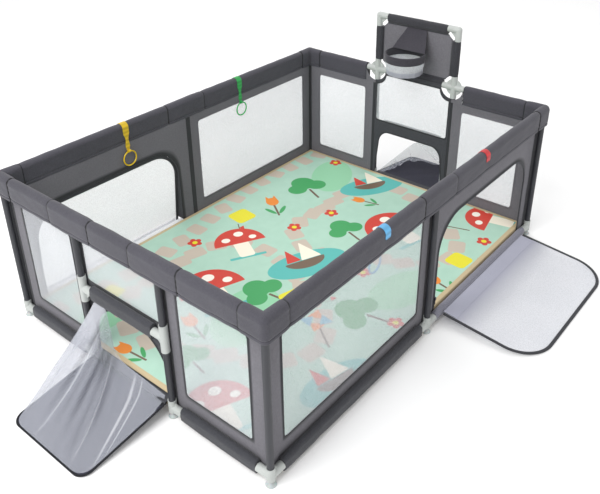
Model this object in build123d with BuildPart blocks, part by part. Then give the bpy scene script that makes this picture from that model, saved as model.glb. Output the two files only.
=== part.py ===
from build123d import *
import os
from math import asin, atan2, cos, degrees, pi, radians, sin, sqrt

os.makedirs("parts", exist_ok=True)

# Free-standing playpen with two arched doors, two goals and a hoop tower, in millimetres.
# Frame: origin on the floor at the middle of the pen, X along the long walls, +Z up.
# Walls: front is -Y, back is +Y, left is -X, right is +X and carries the hoop tower.

# Plan and heights of the frame, measured between post and rail axes
post_span_x = 1902
post_span_y = 1368
goal_span = 446
bottom_axis = 40
crossbar_axis = 351
rail_axis = 660
tower_axis = 946

# Steel tube and the moulded sockets that take it
tube_dia = 25
tube_wall = 1.2
fit = 0.3
socket_wall = 2.9
tube_stop = 20
foot_reach = 54
foot_top = 75
post_seat = 58
tee_rise = 56
tee_reach = 55
cross_reach = 60
elbow_reach = 54
hidden_reach = 60
web_thick = 6
web_radius = 42
cup_height = 22
cup_dia = 38
cup_stem_dia = 16
cup_lip = 2
cup_hollow = 8

# Padded covers on the top rail
cover_thick = 40
cover_foot = 588
cover_taper = 1.5
cap_proud = 2
tee_proud = 0.8
cap_reach = 86
tee_cover_reach = 115
seam = 2

# Fabric wraps on bottom rails and crossbars
wrap_thick = 29
wrap_height = 58
sill_wrap_height = 42
crossbar_wrap_height = 62
butt = 1

# Fabric wall that hangs inside the posts
liner_inset = 16.2
liner_thick = 3
liner_foot = 24
mesh_thick = 1.2
window_foot = 120
window_head = 548
window_corner = 12
corner_border = 90
middle_border = 64
panel_gap = 1

# Arched doors
sill = 62
arch_side = 84
arch_head = 465
arch_radius = 150
leaf_clear = 3
leaf_rim = 14
leaf_rim_thick = 5
hem_depth = 60
hem_thick = 3
piping_dia = 5
hinge_height = 45
lip_out = 17.6
lip_side = 25
lip_low = 3
lip_high = 7
zip_width = 8
zip_thick = 1.2
slider_width = 10
slider_length = 16
slider_thick = 5
slider_height = 110
tab_width = 6
tab_length = 24
tab_thick = 1.4

# Goals
goal_window_half = 211
goal_window_foot = 384
goal_window_head = 550
goal_mouth_half = 208
goal_mouth_head = 318
goal_mouth_radius = 90
goal_sill_half = 202
goal_sill_top = 60
goal_hinge_height = 52
flap_half = 206
flap_length = 364
flap_corner = 45
flap_rim = 8
flap_thick = 2.4
net_thick = 1.5
net_half = 186
net_foot = 110
net_corner = 60
net_gather = -36
net_slump_foot = 72
net_near = 70
net_far = 345
net_steps = 6
net_folds = 9
net_head_sag = 3
net_far_sag = 6
net_gap = 0.5

# Tower above the right wall
channel_depth = 44
channel_thick = 31
board_thick = 3
board_cut = 58
tower_panel_lap = 5
tower_window_head = 640
hoop_dia = 200
hoop_wall = 6
hoop_height = 40
hoop_top = 820
patch_thick = 4
patch_width = 60
patch_height = 30
basket_depth = 62
basket_wall = 1.5
basket_taper = 9
yoke_thick = 3
yoke_top_half = 55
yoke_setback = 30

# Pull straps with rings on the long walls
strap_place = 360
strap_width = 32
strap_waist = 14
strap_thick = 2
strap_tail = 640
strap_waist_top = 630
strap_waist_foot = 592
loop_height = 551
loop_bore = 9.6
loop_wall = 2
ring_radius = 34
ring_wire = 6.4
ring_drop = 0.6

# Foam mat
mat_thick = 65
mat_gap = 0.6
mat_corner = 15
mat_edge = 5

# Sizes that follow from those above
half_x = post_span_x / 2
half_y = post_span_y / 2
goal_half = goal_span / 2
tube_radius = tube_dia / 2
bore_radius = tube_radius + fit
socket_radius = bore_radius + socket_wall
sleeve_bore = socket_radius + fit
cover_half = cover_thick / 2
liner_back = liner_inset + liner_thick
bay_end_x = half_x - liner_back - fit
bay_end_y = half_y - liner_inset
arch_half = (half_x - 2 * arch_side) / 2
arch_middle = half_x / 2
leaf_half = arch_half - leaf_clear
piping_radius = piping_dia / 2
hinge_out = lip_out + fit + piping_radius
leaf_lean = degrees(atan2(hinge_out + liner_inset + liner_thick / 2, arch_head - hinge_height))
leaf_length = (arch_head - leaf_clear - hinge_height) / cos(radians(leaf_lean))
leaf_drop = degrees(asin((hinge_height - leaf_rim_thick / 2) / leaf_length))
flap_drop = degrees(asin((goal_hinge_height - leaf_rim_thick / 2) / flap_length))
board_face = half_x - board_thick / 2
hoop_radius = hoop_dia / 2
hoop_x = board_face - patch_thick - fit - hoop_radius
wire_radius = ring_wire / 2
up = Vector(0, 0, 1)

front_wall = Plane(origin=(0, -half_y, 0), x_dir=(1, 0, 0), z_dir=(0, -1, 0))
back_wall = Plane(origin=(0, half_y, 0), x_dir=(-1, 0, 0), z_dir=(0, 1, 0))
left_wall = Plane(origin=(-half_x, 0, 0), x_dir=(0, -1, 0), z_dir=(-1, 0, 0))
right_wall = Plane(origin=(half_x, 0, 0), x_dir=(0, 1, 0), z_dir=(1, 0, 0))
long_walls = (front_wall, back_wall)
short_walls = (left_wall, right_wall)
corners = [Vector(sx * half_x, sy * half_y, 0) for sx in (-1, 1) for sy in (-1, 1)]
middles = [Vector(0, sy * half_y, 0) for sy in (-1, 1)]
goals = [Vector(sx * half_x, sy * goal_half, 0) for sx in (-1, 1) for sy in (-1, 1)]


def toward_middle(spot):
    """The two level directions from a corner post along its walls."""
    return Vector(-spot.X / abs(spot.X), 0, 0), Vector(0, -spot.Y / abs(spot.Y), 0)


def spot_on(wall, along, height, inset=0):
    """The point of a wall at a distance along it, a height and a depth inside the post axes."""
    return wall.origin + wall.x_dir * along + up * height - wall.z_dir * inset


def section_plane(origin, direction):
    """An upright plane across a level run: local X to the run's left, local Y up."""
    return Plane(origin=origin, x_dir=up.cross(direction), z_dir=direction)


def round_bar(start, end, radius):
    """A straight round bar."""
    run = end - start
    with BuildPart() as bar:
        with BuildSketch(Plane(origin=start, z_dir=run)):
            Circle(radius)
        extrude(amount=run.length)
    return bar.part


def steel_tube(start, end):
    """A length of frame tube."""
    run = end - start
    with BuildPart() as tube:
        with BuildSketch(Plane(origin=start, z_dir=run)):
            Circle(tube_radius)
            Circle(tube_radius - tube_wall, mode=Mode.SUBTRACT)
        extrude(amount=run.length)
    return tube.part


def gusset(origin, level, rise, reach):
    """A triangular stiffening plate between an upright socket and a level one."""
    with BuildPart() as plate:
        with BuildSketch(Plane(origin=origin, x_dir=level, z_dir=level.cross(up))):
            with BuildLine():
                Polyline((0, 0), (reach, 0), (0, rise), close=True)
            make_face()
        extrude(amount=web_thick / 2, both=True)
    return plate.part


def pipe_joint(centre, arms, stiffeners=()):
    """A moulded joint with one tube socket per (direction, reach) arm."""
    sockets = [round_bar(centre, centre + way * reach, socket_radius) for way, reach in arms]
    bores = [round_bar(centre + way * tube_stop, centre + way * reach, bore_radius) for way, reach in arms]
    with BuildPart() as joint:
        with Locations(centre):
            Sphere(socket_radius)
        add(sockets)
        add(stiffeners)
        add(bores, mode=Mode.SUBTRACT)
    return joint.part


def foot(spot, level_ways):
    """A foot: an upright socket for the post and a level socket for each bottom rail."""
    centre = spot + up * bottom_axis
    sockets = [round_bar(centre, centre + way * foot_reach, socket_radius) for way in level_ways]
    plates = [gusset(centre, way, foot_top - bottom_axis, foot_reach) for way in level_ways]
    bores = [round_bar(centre + way * tube_stop, centre + way * foot_reach, bore_radius) for way in level_ways]
    body = round_bar(spot + up * cup_height, spot + up * foot_top, socket_radius)
    post_bore = round_bar(spot + up * post_seat, spot + up * foot_top, bore_radius)
    with BuildPart() as moulding:
        add(body)
        add(sockets)
        add(plates)
        add(bores, mode=Mode.SUBTRACT)
        add(post_bore, mode=Mode.SUBTRACT)
    return moulding.part


def cover_bar(start, direction, length, half):
    """A straight padded cover: tapered sides and a half-round top about the rail axis."""
    with BuildPart() as bar:
        with BuildSketch(section_plane(start, direction)):
            with BuildLine():
                Polyline((-half, rail_axis), (cover_taper - half, cover_foot),
                         (half - cover_taper, cover_foot), (half, rail_axis))
                RadiusArc((half, rail_axis), (0, rail_axis + half), -half)
                RadiusArc((0, rail_axis + half), (-half, rail_axis), -half)
            make_face()
        extrude(amount=length)
    return bar.part


def cap_corner(spot, half):
    """The rounded outer corner of a cap: the cover's half profile turned about the post."""
    with BuildPart() as corner:
        with BuildSketch(Plane(origin=spot, x_dir=(1, 0, 0), z_dir=(0, -1, 0))):
            with BuildLine():
                Polyline((0, rail_axis + half), (0, cover_foot), (half - cover_taper, cover_foot),
                         (half, rail_axis))
                RadiusArc((half, rail_axis), (0, rail_axis + half), -half)
            make_face()
        revolve(axis=Axis(spot, up))
    return corner.part


def bored(body, bores):
    """A cover with its tube or socket bores cut out."""
    with BuildPart() as sleeve:
        add(body)
        add(bores, mode=Mode.SUBTRACT)
    return sleeve.part


def rail_cover(wall, left, right):
    """A padded sleeve round the top rail tube between two seams."""
    start = spot_on(wall, left, 0)
    bore = round_bar(spot_on(wall, left, rail_axis), spot_on(wall, right, rail_axis), bore_radius)
    return bored([cover_bar(start, wall.x_dir, right - left, cover_half)], [bore])


def tee_cover(wall, along):
    """The padded cover over a top tee joint, open below for its post."""
    start = spot_on(wall, along - tee_cover_reach, 0)
    body = cover_bar(start, wall.x_dir, 2 * tee_cover_reach, cover_half + tee_proud)
    level = round_bar(spot_on(wall, along - tee_cover_reach, rail_axis),
                      spot_on(wall, along + tee_cover_reach, rail_axis), sleeve_bore)
    upright = round_bar(spot_on(wall, along, cover_foot), spot_on(wall, along, rail_axis), sleeve_bore)
    return bored([body], [level, upright])


def corner_cap(spot):
    """The padded L-shaped cap over a top corner joint."""
    half = cover_half + cap_proud
    centre = spot + up * rail_axis
    ways = toward_middle(spot)
    body = [cap_corner(spot, half)] + [cover_bar(spot, way, cap_reach, half) for way in ways]
    bores = [round_bar(centre, centre + way * cap_reach, sleeve_bore) for way in ways]
    upright = round_bar(spot + up * cover_foot, centre, sleeve_bore)
    with BuildPart() as hollow:
        with Locations(centre):
            Sphere(sleeve_bore)
        add(bores)
        add(upright)
    return bored(body, [hollow.part])


def tube_wrap(wall, left, right, axis_height, height):
    """A flat-sided fabric wrap round a level tube."""
    with BuildPart() as wrap:
        with BuildSketch(section_plane(spot_on(wall, left, axis_height), wall.x_dir)):
            SlotOverall(height, wrap_thick, rotation=90)
            Circle(bore_radius, mode=Mode.SUBTRACT)
        extrude(amount=right - left)
    return wrap.part


def arch_outline(middle, half, low, high, radius):
    """A flat outline with a straight foot and two rounded top corners."""
    with BuildSketch() as arch:
        with Locations((middle, (low + high) / 2)):
            Rectangle(2 * half, high - low)
        fillet(arch.vertices().group_by(Axis.Y)[-1], radius)
    return arch.sketch


def window_outline(left, right, low, high):
    """A mesh window with lightly rounded corners."""
    with BuildSketch() as window:
        with Locations(((left + right) / 2, (low + high) / 2)):
            RectangleRounded(right - left, high - low, window_corner)
    return window.sketch


def wall_panel(wall, left, right, head, holes, tabs=()):
    """A flat fabric panel inside the posts, with any tabs added and its windows and arches cut out."""
    with BuildPart() as panel:
        with BuildSketch(wall.offset(-liner_back)):
            with Locations(((left + right) / 2, (liner_foot + head) / 2)):
                Rectangle(right - left, head - liner_foot)
            add(tabs)
            add(holes, mode=Mode.SUBTRACT)
        extrude(amount=liner_thick)
    return panel.part


def mesh_sheet(wall, outline):
    """A mesh sheet in the middle of the fabric's thickness, filling a window."""
    with BuildPart() as sheet:
        with BuildSketch(wall.offset(-(liner_inset + (liner_thick + mesh_thick) / 2))):
            add(outline)
        extrude(amount=mesh_thick)
    return sheet.part


def leaf_plane(wall, along, height, tilt):
    """The plane of a leaf hinged outside a wall: local Y runs away from the hinge at a tilt."""
    away = wall.z_dir * cos(radians(tilt)) + up * sin(radians(tilt))
    hinge = spot_on(wall, along, height, -hinge_out)
    return Plane(origin=hinge, x_dir=wall.x_dir, z_dir=wall.x_dir.cross(away))


def hinge_piping(plane, half):
    """The corded edge that a leaf turns on."""
    return round_bar(plane.origin - plane.x_dir * half, plane.origin + plane.x_dir * half, piping_radius)


def door_opening():
    """The mesh outline inside a door leaf's rim and hem."""
    return arch_outline(0, leaf_half - leaf_rim, hem_depth, leaf_length - leaf_rim, arch_radius - leaf_rim)


def door_binding(plane):
    """A door leaf's bound rim, its sewn hem and its corded hinge edge."""
    piping = hinge_piping(plane, arch_half - lip_side)
    with BuildPart() as binding:
        with BuildSketch(plane):
            add(arch_outline(0, leaf_half, 0, leaf_length, arch_radius))
            add(arch_outline(0, leaf_half - leaf_rim, 0, leaf_length - leaf_rim, arch_radius - leaf_rim),
                mode=Mode.SUBTRACT)
        extrude(amount=leaf_rim_thick / 2, both=True)
        with BuildSketch(plane):
            with Locations((0, hem_depth / 2)):
                Rectangle(2 * leaf_half - leaf_rim, hem_depth)
        extrude(amount=hem_thick / 2, both=True)
        add(piping)
    return binding.part


def door_mesh(plane):
    """A door leaf's mesh."""
    with BuildPart() as sheet:
        with BuildSketch(plane):
            add(door_opening())
        extrude(amount=mesh_thick / 2, both=True)
    return sheet.part


def goal_flap(plane):
    """A goal's floor flap: a fabric sheet with a bound rim and a corded hinge edge."""
    piping = hinge_piping(plane, goal_sill_half)
    with BuildPart() as flap:
        with BuildSketch(plane):
            add(arch_outline(0, flap_half, 0, flap_length, flap_corner))
        extrude(amount=flap_thick / 2, both=True)
        with BuildSketch(plane):
            add(arch_outline(0, flap_half, 0, flap_length, flap_corner))
            add(arch_outline(0, flap_half - flap_rim, 0, flap_length - flap_rim, flap_corner - flap_rim),
                mode=Mode.SUBTRACT)
        extrude(amount=leaf_rim_thick / 2, both=True)
        add(piping)
    return flap.part


def net_edge(plane, corners, sag, inset):
    """An edge of a net on a plane, one spline per fold: a rounded line through corners, with shallow folds,
    drawn in by an inset."""
    with BuildLine() as run:
        FilletPolyline(*corners, radius=net_corner)
    path = run.wires()[0]
    places = []
    for step in range(net_folds * net_steps + 1):
        part = step / (net_folds * net_steps)
        way = path % part
        fold = sag * sin(2 * pi * net_folds * part) * sin(pi * part)
        places.append(plane.from_local_coords(path @ part + Vector(way.Y, -way.X) * (inset + fold)))
    evenly = [step / net_steps for step in range(net_steps + 1)]
    return [Edge.make_spline(places[fold * net_steps:(fold + 1) * net_steps + 1], parameters=evenly)
            for fold in range(net_folds)]


def goal_net(wall, plane):
    """A net gathered at one end of the crossbar, fallen along the mouth and fanned out to the flap's edges:
    a ruled sheet between an edge in the mouth and an edge on the flap."""
    head = crossbar_axis - crossbar_wrap_height / 2 - net_gap - net_head_sag
    mouth = ((-net_half, net_foot), (-net_half, head), (net_gather, head), (net_half, net_slump_foot))
    floor = ((-net_half, net_near), (-net_half, net_far), (net_half, net_far), (net_half, net_near))
    laid = plane.offset(-(flap_thick / 2 + net_gap))
    outer_head, inner_head = [net_edge(wall, mouth, net_head_sag, inset) for inset in (0, net_thick)]
    outer_foot, inner_foot = [net_edge(laid, floor, net_far_sag, inset) for inset in (0, net_thick)]
    pairs = []
    for one, other in ((outer_head, outer_foot), (inner_head, inner_foot),
                       (outer_head, inner_head), (outer_foot, inner_foot)):
        pairs += list(zip(one, other))
    for fold, part in ((0, 0), (-1, 1)):
        pairs.append((Edge.make_line(outer_head[fold] @ part, outer_foot[fold] @ part),
                      Edge.make_line(inner_head[fold] @ part, inner_foot[fold] @ part)))
    faces = [Face.make_surface_from_curves(one, other) for one, other in pairs]
    return Solid(Shell(faces))


def pull_strap(wall, along):
    """A strap over the top rail: a short outer tail, and an inner fall that ends in a loop."""
    inner = cover_half + fit
    outer = inner + strap_thick
    loop_radius = loop_bore / 2 + loop_wall
    with BuildPart() as strap:
        with BuildSketch(section_plane(spot_on(wall, along, 0), wall.x_dir)):
            with BuildLine():
                Polyline((-outer, rail_axis), (-outer, strap_tail), (-inner, strap_tail), (-inner, rail_axis))
                RadiusArc((-inner, rail_axis), (0, rail_axis + inner), inner)
                RadiusArc((0, rail_axis + inner), (inner, rail_axis), inner)
                Polyline((inner, rail_axis), (inner, loop_height), (outer, loop_height), (outer, rail_axis))
                RadiusArc((outer, rail_axis), (0, rail_axis + outer), -outer)
                RadiusArc((0, rail_axis + outer), (-outer, rail_axis), -outer)
            make_face()
            with Locations((inner + loop_radius, loop_height)):
                Circle(loop_radius)
                Circle(loop_bore / 2, mode=Mode.SUBTRACT)
        extrude(amount=strap_width / 2, both=True)
        with BuildSketch(Plane(origin=spot_on(wall, along, 0), x_dir=wall.x_dir, z_dir=wall.z_dir)):
            with BuildLine():
                Polyline((-strap_waist / 2, loop_height - loop_bore), (strap_waist / 2, loop_height - loop_bore),
                         (strap_waist / 2, strap_waist_foot), (strap_width / 2, strap_waist_top),
                         (strap_width / 2, rail_axis + cover_thick), (-strap_width / 2, rail_axis + cover_thick),
                         (-strap_width / 2, strap_waist_top), (-strap_waist / 2, strap_waist_foot), close=True)
            make_face()
        extrude(amount=2 * cover_thick, both=True, mode=Mode.INTERSECT)
    return strap.part


def pull_ring(wall, along):
    """A round ring that hangs in its strap's loop, flat along the wall."""
    inset = cover_half + fit + loop_bore / 2 + loop_wall
    centre = spot_on(wall, along, loop_height - ring_drop - ring_radius, inset)
    with BuildPart() as ring:
        with Locations(Plane(origin=centre, z_dir=wall.z_dir)):
            Torus(ring_radius, wire_radius)
    return ring.part


def zip_tape(wall):
    """The zip's tape and teeth on the outside of an arch."""
    with BuildPart() as tape:
        with BuildSketch(wall.offset(-liner_inset)):
            add(arch_outline(arch_middle, arch_half + zip_width, sill, arch_head + zip_width,
                             arch_radius + zip_width))
            add(arch_outline(arch_middle, arch_half, liner_foot, arch_head, arch_radius), mode=Mode.SUBTRACT)
        extrude(amount=zip_thick)
    return tape.part


def zip_slider(wall):
    """A zip slider with its pull tab hanging below it, at the foot of one leg."""
    place = arch_middle - arch_half - zip_width / 2
    with BuildPart() as slider:
        with BuildSketch(wall.offset(zip_thick + fit - liner_inset)):
            with Locations((place, slider_height)):
                RectangleRounded(slider_width, slider_length, slider_width / 4)
        extrude(amount=slider_thick)
        with BuildSketch(wall.offset(zip_thick + fit - liner_inset + (slider_thick - tab_thick) / 2)):
            with Locations((place, slider_height - (slider_length + tab_length) / 2 + tab_width / 2)):
                RectangleRounded(tab_width, tab_length, tab_width / 2.2)
        extrude(amount=tab_thick)
    return slider.part


# Foam mat that lies on the floor inside the walls
with BuildPart() as play_mat:
    with BuildSketch():
        RectangleRounded(2 * (half_x - liner_back - mat_gap), 2 * (half_y - liner_back - mat_gap), mat_corner)
    extrude(amount=mat_thick)
    fillet(play_mat.faces().sort_by(Axis.Z)[-1].edges(), mat_edge)
play_mat.part.label = "play_mat"
export_step(play_mat.part, "parts/play_mat.step")

# Suction cups under all ten feet
with BuildPart() as suction_cups:
    for spot in corners + middles + goals:
        with BuildSketch(Plane(origin=spot, x_dir=(1, 0, 0), z_dir=(0, -1, 0))) as cup_profile:
            with BuildLine():
                Polyline((0, cup_hollow), (0, cup_height), (cup_stem_dia / 2, cup_height),
                         (cup_stem_dia / 2, 2 * cup_hollow), (cup_dia / 2, cup_lip), (cup_dia / 2, 0),
                         (cup_dia / 2 - cup_lip, 0), (cup_dia / 4, cup_hollow * 0.8), close=True)
            make_face()
        revolve(axis=Axis(spot, up))
suction_cups.part.label = "suction_cups"
export_step(suction_cups.part, "parts/suction_cups.step")

# Three-way feet at the corners
corner_mouldings = [foot(spot, toward_middle(spot)) for spot in corners]
with BuildPart() as corner_feet:
    add(corner_mouldings)
corner_feet.part.label = "corner_feet"
export_step(corner_feet.part, "parts/corner_feet.step")

# Straight-through feet in the middle of the long walls
middle_mouldings = [foot(spot, (Vector(1, 0, 0), Vector(-1, 0, 0))) for spot in middles]
with BuildPart() as middle_feet:
    add(middle_mouldings)
middle_feet.part.label = "middle_feet"
export_step(middle_feet.part, "parts/middle_feet.step")

# Goal feet, with a socket only on the side away from the goal mouth
goal_mouldings = [foot(spot, (Vector(0, spot.Y / abs(spot.Y), 0),)) for spot in goals]
with BuildPart() as goal_feet:
    add(goal_mouldings)
goal_feet.part.label = "goal_feet"
export_step(goal_feet.part, "parts/goal_feet.step")

# Corner and middle posts
post_tubes = [steel_tube(spot + up * post_seat, spot + up * (rail_axis - tube_stop))
              for spot in corners + middles]
with BuildPart() as wall_posts:
    add(post_tubes)
wall_posts.part.label = "wall_posts"
export_step(wall_posts.part, "parts/wall_posts.step")

# Goal posts, a lower and an upper length at each goal tee
lower_tubes = [steel_tube(spot + up * post_seat, spot + up * (crossbar_axis - tube_stop)) for spot in goals]
upper_tubes = [steel_tube(spot + up * (crossbar_axis + tube_stop), spot + up * (rail_axis - tube_stop))
               for spot in goals]
with BuildPart() as goal_posts:
    add(lower_tubes + upper_tubes)
goal_posts.part.label = "goal_posts"
export_step(goal_posts.part, "parts/goal_posts.step")

# Crossbar tubes over the goals
bar_half = goal_half - tube_stop
crossbar_tubes = [steel_tube(spot_on(wall, -bar_half, crossbar_axis), spot_on(wall, bar_half, crossbar_axis))
                  for wall in short_walls]
with BuildPart() as goal_crossbars:
    add(crossbar_tubes)
goal_crossbars.part.label = "goal_crossbars"
export_step(goal_crossbars.part, "parts/goal_crossbars.step")

# Tee joints where the crossbars meet the goal posts
tee_mouldings = []
for spot in goals:
    inward = Vector(0, -spot.Y / abs(spot.Y), 0)
    centre = spot + up * crossbar_axis
    web = gusset(centre, inward, -tee_rise, tee_reach)
    tee_mouldings.append(pipe_joint(centre, ((up, tee_rise), (-up, tee_rise), (inward, tee_reach)), [web]))
with BuildPart() as goal_tees:
    add(tee_mouldings)
goal_tees.part.label = "goal_tees"
export_step(goal_tees.part, "parts/goal_tees.step")

# Top rail tubes: two on each long wall, three on the left wall, two beside the tower
rail_runs = [(wall, side * tube_stop, side * (half_x - tube_stop)) for wall in long_walls for side in (-1, 1)]
rail_runs += [(wall, side * (goal_half + tube_stop), side * (half_y - tube_stop))
              for wall in short_walls for side in (-1, 1)]
rail_runs.append((left_wall, -bar_half, bar_half))
rail_tubes = [steel_tube(spot_on(wall, start, rail_axis), spot_on(wall, end, rail_axis))
              for wall, start, end in rail_runs]
with BuildPart() as top_rail_tubes:
    add(rail_tubes)
top_rail_tubes.part.label = "top_rail_tubes"
export_step(top_rail_tubes.part, "parts/top_rail_tubes.step")

# Bottom rail tubes, in every bay but the two goals
sill_runs = [(wall, side * tube_stop, side * (half_x - tube_stop)) for wall in long_walls for side in (-1, 1)]
sill_runs += [(wall, side * (goal_half + tube_stop), side * (half_y - tube_stop))
              for wall in short_walls for side in (-1, 1)]
sill_tubes = [steel_tube(spot_on(wall, start, bottom_axis), spot_on(wall, end, bottom_axis))
              for wall, start, end in sill_runs]
with BuildPart() as bottom_rail_tubes:
    add(sill_tubes)
bottom_rail_tubes.part.label = "bottom_rail_tubes"
export_step(bottom_rail_tubes.part, "parts/bottom_rail_tubes.step")

# Three-way joints hidden in the corner caps
corner_joints = [pipe_joint(spot + up * rail_axis,
                            [(way, hidden_reach) for way in toward_middle(spot)] + [(-up, hidden_reach)])
                 for spot in corners]
with BuildPart() as top_corner_joints:
    add(corner_joints)
top_corner_joints.part.label = "top_corner_joints"
export_step(top_corner_joints.part, "parts/top_corner_joints.step")

# Tee joints hidden in the tee covers
tee_spots = [(wall, 0) for wall in long_walls] + [(left_wall, side * goal_half) for side in (-1, 1)]
hidden_tees = [pipe_joint(spot_on(wall, along, rail_axis),
                          ((wall.x_dir, hidden_reach), (-wall.x_dir, hidden_reach), (-up, hidden_reach)))
               for wall, along in tee_spots]
with BuildPart() as top_tee_joints:
    add(hidden_tees)
top_tee_joints.part.label = "top_tee_joints"
export_step(top_tee_joints.part, "parts/top_tee_joints.step")

# Padded L-shaped corner caps
caps = [corner_cap(spot) for spot in corners]
with BuildPart() as corner_caps:
    add(caps)
corner_caps.part.label = "corner_caps"
export_step(corner_caps.part, "parts/corner_caps.step")

# Padded covers over the top tee joints
tee_sleeves = [tee_cover(wall, along) for wall, along in tee_spots]
with BuildPart() as tee_covers:
    add(tee_sleeves)
tee_covers.part.label = "tee_covers"
export_step(tee_covers.part, "parts/tee_covers.step")

# Padded rail covers on the long walls
long_start = tee_cover_reach + seam
long_end = half_x - cap_reach - seam
long_sleeves = []
for wall in long_walls:
    long_sleeves.append(rail_cover(wall, long_start, long_end))
    long_sleeves.append(rail_cover(wall, -long_end, -long_start))
with BuildPart() as long_rail_covers:
    add(long_sleeves)
long_rail_covers.part.label = "long_rail_covers"
export_step(long_rail_covers.part, "parts/long_rail_covers.step")

# Padded rail covers on the short walls: three on the left, two beside the tower
short_end = half_y - cap_reach - seam
left_start = goal_half + tee_cover_reach + seam
right_start = goal_half + cross_reach + butt
goal_cover_half = goal_half - tee_cover_reach - seam
short_sleeves = [rail_cover(left_wall, left_start, short_end),
                 rail_cover(left_wall, -goal_cover_half, goal_cover_half),
                 rail_cover(left_wall, -short_end, -left_start),
                 rail_cover(right_wall, right_start, short_end),
                 rail_cover(right_wall, -short_end, -right_start)]
with BuildPart() as short_rail_covers:
    add(short_sleeves)
short_rail_covers.part.label = "short_rail_covers"
export_step(short_rail_covers.part, "parts/short_rail_covers.step")

# Dark wraps on the bottom rails of the six mesh bays
long_wrap_start = foot_reach + butt
long_wrap_end = half_x - foot_reach - butt
short_wrap_start = goal_half + foot_reach + butt
short_wrap_end = half_y - foot_reach - butt
mesh_bay_wraps = [tube_wrap(wall, -long_wrap_end, -long_wrap_start, bottom_axis, wrap_height)
                  for wall in long_walls]
for wall in short_walls:
    mesh_bay_wraps.append(tube_wrap(wall, short_wrap_start, short_wrap_end, bottom_axis, wrap_height))
    mesh_bay_wraps.append(tube_wrap(wall, -short_wrap_end, -short_wrap_start, bottom_axis, wrap_height))
with BuildPart() as bottom_wraps:
    add(mesh_bay_wraps)
bottom_wraps.part.label = "bottom_wraps"
export_step(bottom_wraps.part, "parts/bottom_wraps.step")

# Lighter sill wraps in the two door bays, each with the sewn lip that its door turns on
door_bay_wraps = [tube_wrap(wall, long_wrap_start, long_wrap_end, bottom_axis, sill_wrap_height)
                  for wall in long_walls]
lip_half = arch_half - lip_side
with BuildPart() as door_sill_wraps:
    add(door_bay_wraps)
    for wall in long_walls:
        with BuildSketch(section_plane(spot_on(wall, arch_middle - lip_half, 0), wall.x_dir)):
            with Locations(((-lip_out - bore_radius) / 2, hinge_height + (lip_high - lip_low) / 2)):
                Rectangle(lip_out - bore_radius, lip_high + lip_low)
        extrude(amount=2 * lip_half)
door_sill_wraps.part.label = "door_sill_wraps"
export_step(door_sill_wraps.part, "parts/door_sill_wraps.step")

# Wraps on the goal crossbars
bar_wrap_half = goal_half - tee_reach - butt
bar_wraps = [tube_wrap(wall, -bar_wrap_half, bar_wrap_half, crossbar_axis, crossbar_wrap_height)
             for wall in short_walls]
with BuildPart() as crossbar_wraps:
    add(bar_wraps)
crossbar_wraps.part.label = "crossbar_wraps"
export_step(crossbar_wraps.part, "parts/crossbar_wraps.step")

# Goal sills: a shelf of doubled fabric from the wall to the lip that the flap turns on
with BuildPart() as goal_sills:
    for wall in short_walls:
        with BuildSketch(section_plane(spot_on(wall, -goal_sill_half, 0), wall.x_dir)):
            with BuildLine():
                Polyline((-lip_out, goal_sill_top), (liner_inset - fit, goal_sill_top),
                         (liner_inset - fit, goal_sill_top - hem_thick),
                         (hem_thick - lip_out, goal_sill_top - hem_thick),
                         (hem_thick - lip_out, goal_hinge_height - piping_dia),
                         (-lip_out, goal_hinge_height - piping_dia), close=True)
            make_face()
        extrude(amount=2 * goal_sill_half)
goal_sills.part.label = "goal_sills"
export_step(goal_sills.part, "parts/goal_sills.step")

# Mesh bays of the long walls: a fabric border and the mesh in its window
long_window = window_outline(corner_border - half_x, -middle_border, window_foot, window_head)
bay_names = {"front": front_wall, "back": back_wall}
for name, wall in bay_names.items():
    border_panel = wall_panel(wall, -bay_end_x, -panel_gap, cover_foot, long_window)
    bay_mesh = mesh_sheet(wall, long_window)
    with BuildPart() as long_border:
        add(border_panel)
    long_border.part.label = f"{name}_bay_border"
    export_step(long_border.part, f"parts/{name}_bay_border.step")
    with BuildPart() as long_mesh:
        add(bay_mesh)
    long_mesh.part.label = f"{name}_bay_mesh"
    export_step(long_mesh.part, f"parts/{name}_bay_mesh.step")

# Mesh bays of the short walls, beside the goals; those by the tower reach up round its joints
short_windows = [window_outline(goal_half + middle_border, half_y - corner_border, window_foot, window_head),
                 window_outline(corner_border - half_y, -goal_half - middle_border, window_foot, window_head)]
bay_spans = [(goal_half + panel_gap, bay_end_y), (-bay_end_y, -goal_half - panel_gap)]
with BuildSketch() as cross_cuts:
    with Locations((goal_half, rail_axis), (-goal_half, rail_axis)):
        Circle(board_cut)
tab_start = goal_half + panel_gap
tab_end = right_start - panel_gap
joint_tabs = []
for side in (1, -1):
    with BuildSketch() as joint_tab:
        with Locations((side * (tab_start + tab_end) / 2, (cover_foot + rail_axis) / 2)):
            Rectangle(tab_end - tab_start, rail_axis - cover_foot)
    joint_tabs.append(joint_tab.sketch)
short_panels = [wall_panel(left_wall, start, end, cover_foot, [window])
                for (start, end), window in zip(bay_spans, short_windows)]
short_panels += [wall_panel(right_wall, start, end, cover_foot, [window, cross_cuts.sketch], [tab])
                 for (start, end), window, tab in zip(bay_spans, short_windows, joint_tabs)]
with BuildPart() as short_bay_borders:
    add(short_panels)
short_bay_borders.part.label = "short_bay_borders"
export_step(short_bay_borders.part, "parts/short_bay_borders.step")

short_sheets = [mesh_sheet(wall, window) for wall in short_walls for window in short_windows]
with BuildPart() as short_bay_meshes:
    add(short_sheets)
short_bay_meshes.part.label = "short_bay_meshes"
export_step(short_bay_meshes.part, "parts/short_bay_meshes.step")

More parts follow.
